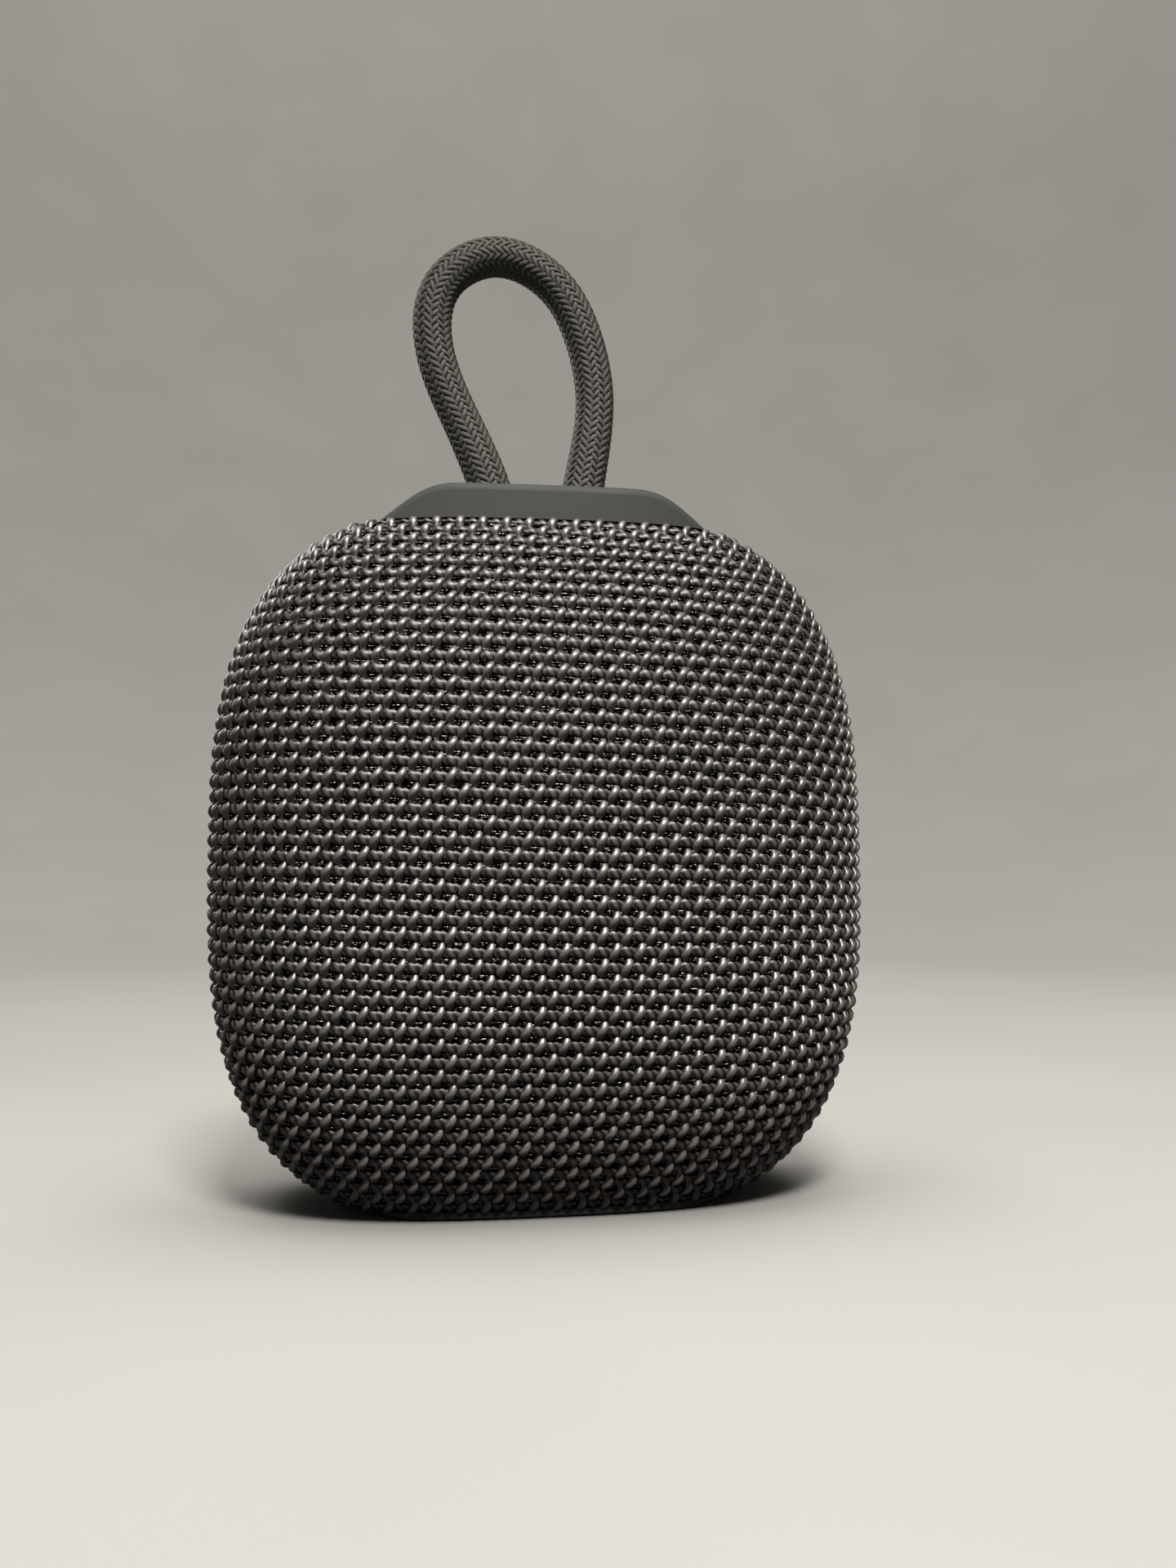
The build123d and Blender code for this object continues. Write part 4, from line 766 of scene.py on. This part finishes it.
# the liner's near-black colour paints the deep shade seen in the gaps between the yarns
lining.data.materials.append(foam_material("liner_cloth_painted_shade", (0.002, 0.002, 0.002)))
for piece in (warp, weft, binder, lining):
    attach(piece, "body")
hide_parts("fabric_sleeve")

rope = braid_rope()
rope.data.materials.append(yarn_material("rope_yarn", **ROPE_LOOK, gloss=0.6, specular=0.25, ply_painted_light=0.0))
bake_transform(rope)
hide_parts("rope_loop", "rope_ends")

# ------------------------------------------------------------------ studio

FLOOR_RADIUS = 0.5  # of the flat part
SWEEP_RADIUS = 0.9
SWEEP_STEP = 6  # degrees
WALL_TOP = 1.7
STUDIO_SIDES = 96
FLOOR_SEEN = ((0.44, 0.43, 0.41), (0.50, 0.49, 0.47))
FLOOR_BOUNCE = (0.07, 0.068, 0.064)  # darker, so that little light comes back up from the floor
WORLD_COLOUR = (0.80, 0.77, 0.71, 1)
WORLD_STRENGTH = 0.22


def studio_bowl():
    """Round pale floor that sweeps up into a wall on every side."""
    profile = [(0.0, 0.0)]
    for angle in range(0, 91, SWEEP_STEP):
        bend = math.radians(angle)
        profile.append((FLOOR_RADIUS + SWEEP_RADIUS * math.sin(bend), SWEEP_RADIUS * (1 - math.cos(bend))))
    profile.append((FLOOR_RADIUS + SWEEP_RADIUS, WALL_TOP))
    turns = [2 * math.pi * k / STUDIO_SIDES for k in range(STUDIO_SIDES)]
    vertices = [(r * math.cos(turn), r * math.sin(turn), height) for r, height in profile for turn in turns]
    faces = []
    for low in range(0, STUDIO_SIDES * (len(profile) - 1), STUDIO_SIDES):
        high = low + STUDIO_SIDES
        for k in range(STUDIO_SIDES):
            after = (k + 1) % STUDIO_SIDES
            faces.append((low + k, low + after, high + after, high + k))
    mesh = bpy.data.meshes.new("floor")
    mesh.from_pydata(vertices, [], faces)
    mesh.shade_smooth()
    obj = bpy.data.objects.new("floor", mesh)
    bpy.context.scene.collection.objects.link(obj)
    return obj


def floor_material():
    """Pale, slightly clouded paper to the camera, and a darker one to every other ray."""
    n = Nodes("floor")
    seen = n.add("LightPath").outputs["Is Camera Ray"]
    pale = n.mix(n.noise(n.place(), 9.0, detail=2.0), *FLOOR_SEEN)
    return n.finish(base_color=n.mix(seen, FLOOR_BOUNCE, pale), roughness=0.85)


def light_group(name, objects):
    """Collection that a light can be limited to."""
    group = bpy.data.collections.new(name)
    for obj in objects:
        group.objects.link(obj)
    return group


def softbox(name, place, target, size, power, colour, lit, spread=180):
    """Square area light aimed at a point, which lights one group of objects."""
    light = bpy.data.lights.new(name, "AREA")
    light.shape = "RECTANGLE"
    light.size = size
    light.size_y = size
    light.energy = power
    light.color = colour
    light.spread = math.radians(spread)
    obj = bpy.data.objects.new(name, light)
    obj.location = place
    obj.rotation_euler = (Vector(target) - Vector(place)).to_track_quat("-Z", "Y").to_euler()
    obj.visible_camera = False
    obj.light_linking.receiver_collection = lit
    bpy.context.scene.collection.objects.link(obj)


floor = studio_bowl()
floor.data.materials.append(floor_material())

world = bpy.data.worlds.new("studio")
bpy.context.scene.world = world
world.use_nodes = True
world.node_tree.nodes["Background"].inputs["Color"].default_value = WORLD_COLOUR
world.node_tree.nodes["Background"].inputs["Strength"].default_value = WORLD_STRENGTH
bpy.context.scene.view_settings.view_transform = "Standard"

middle = Vector((0, 0, CENTER_Z))
front_middle = middle + Vector((0, -HALF_DEPTH * MM, 0))
key_place = Vector((0.022, -0.33, 0.53))
above = Vector((0, 0, 1.5))
warm = (1.0, 0.96, 0.89)
soft = (1.0, 0.98, 0.95)
wash = (1.0, 0.98, 0.94)
stage = light_group("stage", [floor])
pieces = light_group("pieces", [o for o in bpy.context.scene.objects if o.type == "MESH" and o is not floor])
# the key is a gridded softbox: its light falls off round the aim
softbox("key", key_place, front_middle, 0.15, 0.245, warm, pieces, spread=30)
softbox("back", (-0.35, 0.6, 0.4), middle, 0.5, 3.6, soft, pieces)
softbox("floor_key", key_place, middle, 0.13, 2.8, wash, stage)
softbox("wash_back", above, (0, 1.1, 0.3), 1.2, 17.0, wash, stage)
softbox("wash_front", above, (0, -1.1, 0.3), 1.2, 9.0, wash, stage)

# ------------------------------------------------------------------ camera

CAMERA_DISTANCE = 0.185
CAMERA_AZIMUTH = math.radians(-7.9)
CAMERA_ELEVATION = math.radians(-4.0)
CAMERA_ROLL = math.radians(-0.4)
CAMERA_LENS = 28.6
CAMERA_AIM = middle + Vector((0.0068, 0, 0.0110))


def place_camera():
    """Camera close in front of the speaker, a little to the left and below its middle."""
    data = bpy.data.cameras.new("camera")
    data.lens = CAMERA_LENS
    data.sensor_width = 36.0
    data.clip_start = 0.005
    camera = bpy.data.objects.new("camera", data)
    bpy.context.scene.collection.objects.link(camera)
    level = math.cos(CAMERA_ELEVATION)
    from_aim = Vector(
        (
            math.sin(CAMERA_AZIMUTH) * level,
            -math.cos(CAMERA_AZIMUTH) * level,
            math.sin(CAMERA_ELEVATION),
        )
    )
    camera.location = CAMERA_AIM + from_aim * CAMERA_DISTANCE
    look = (-from_aim).to_track_quat("-Z", "Y").to_matrix().to_4x4()
    camera.matrix_world = Matrix.Translation(camera.location) @ look @ Matrix.Rotation(CAMERA_ROLL, 4, "Z")
    return camera


bpy.context.scene.camera = place_camera()
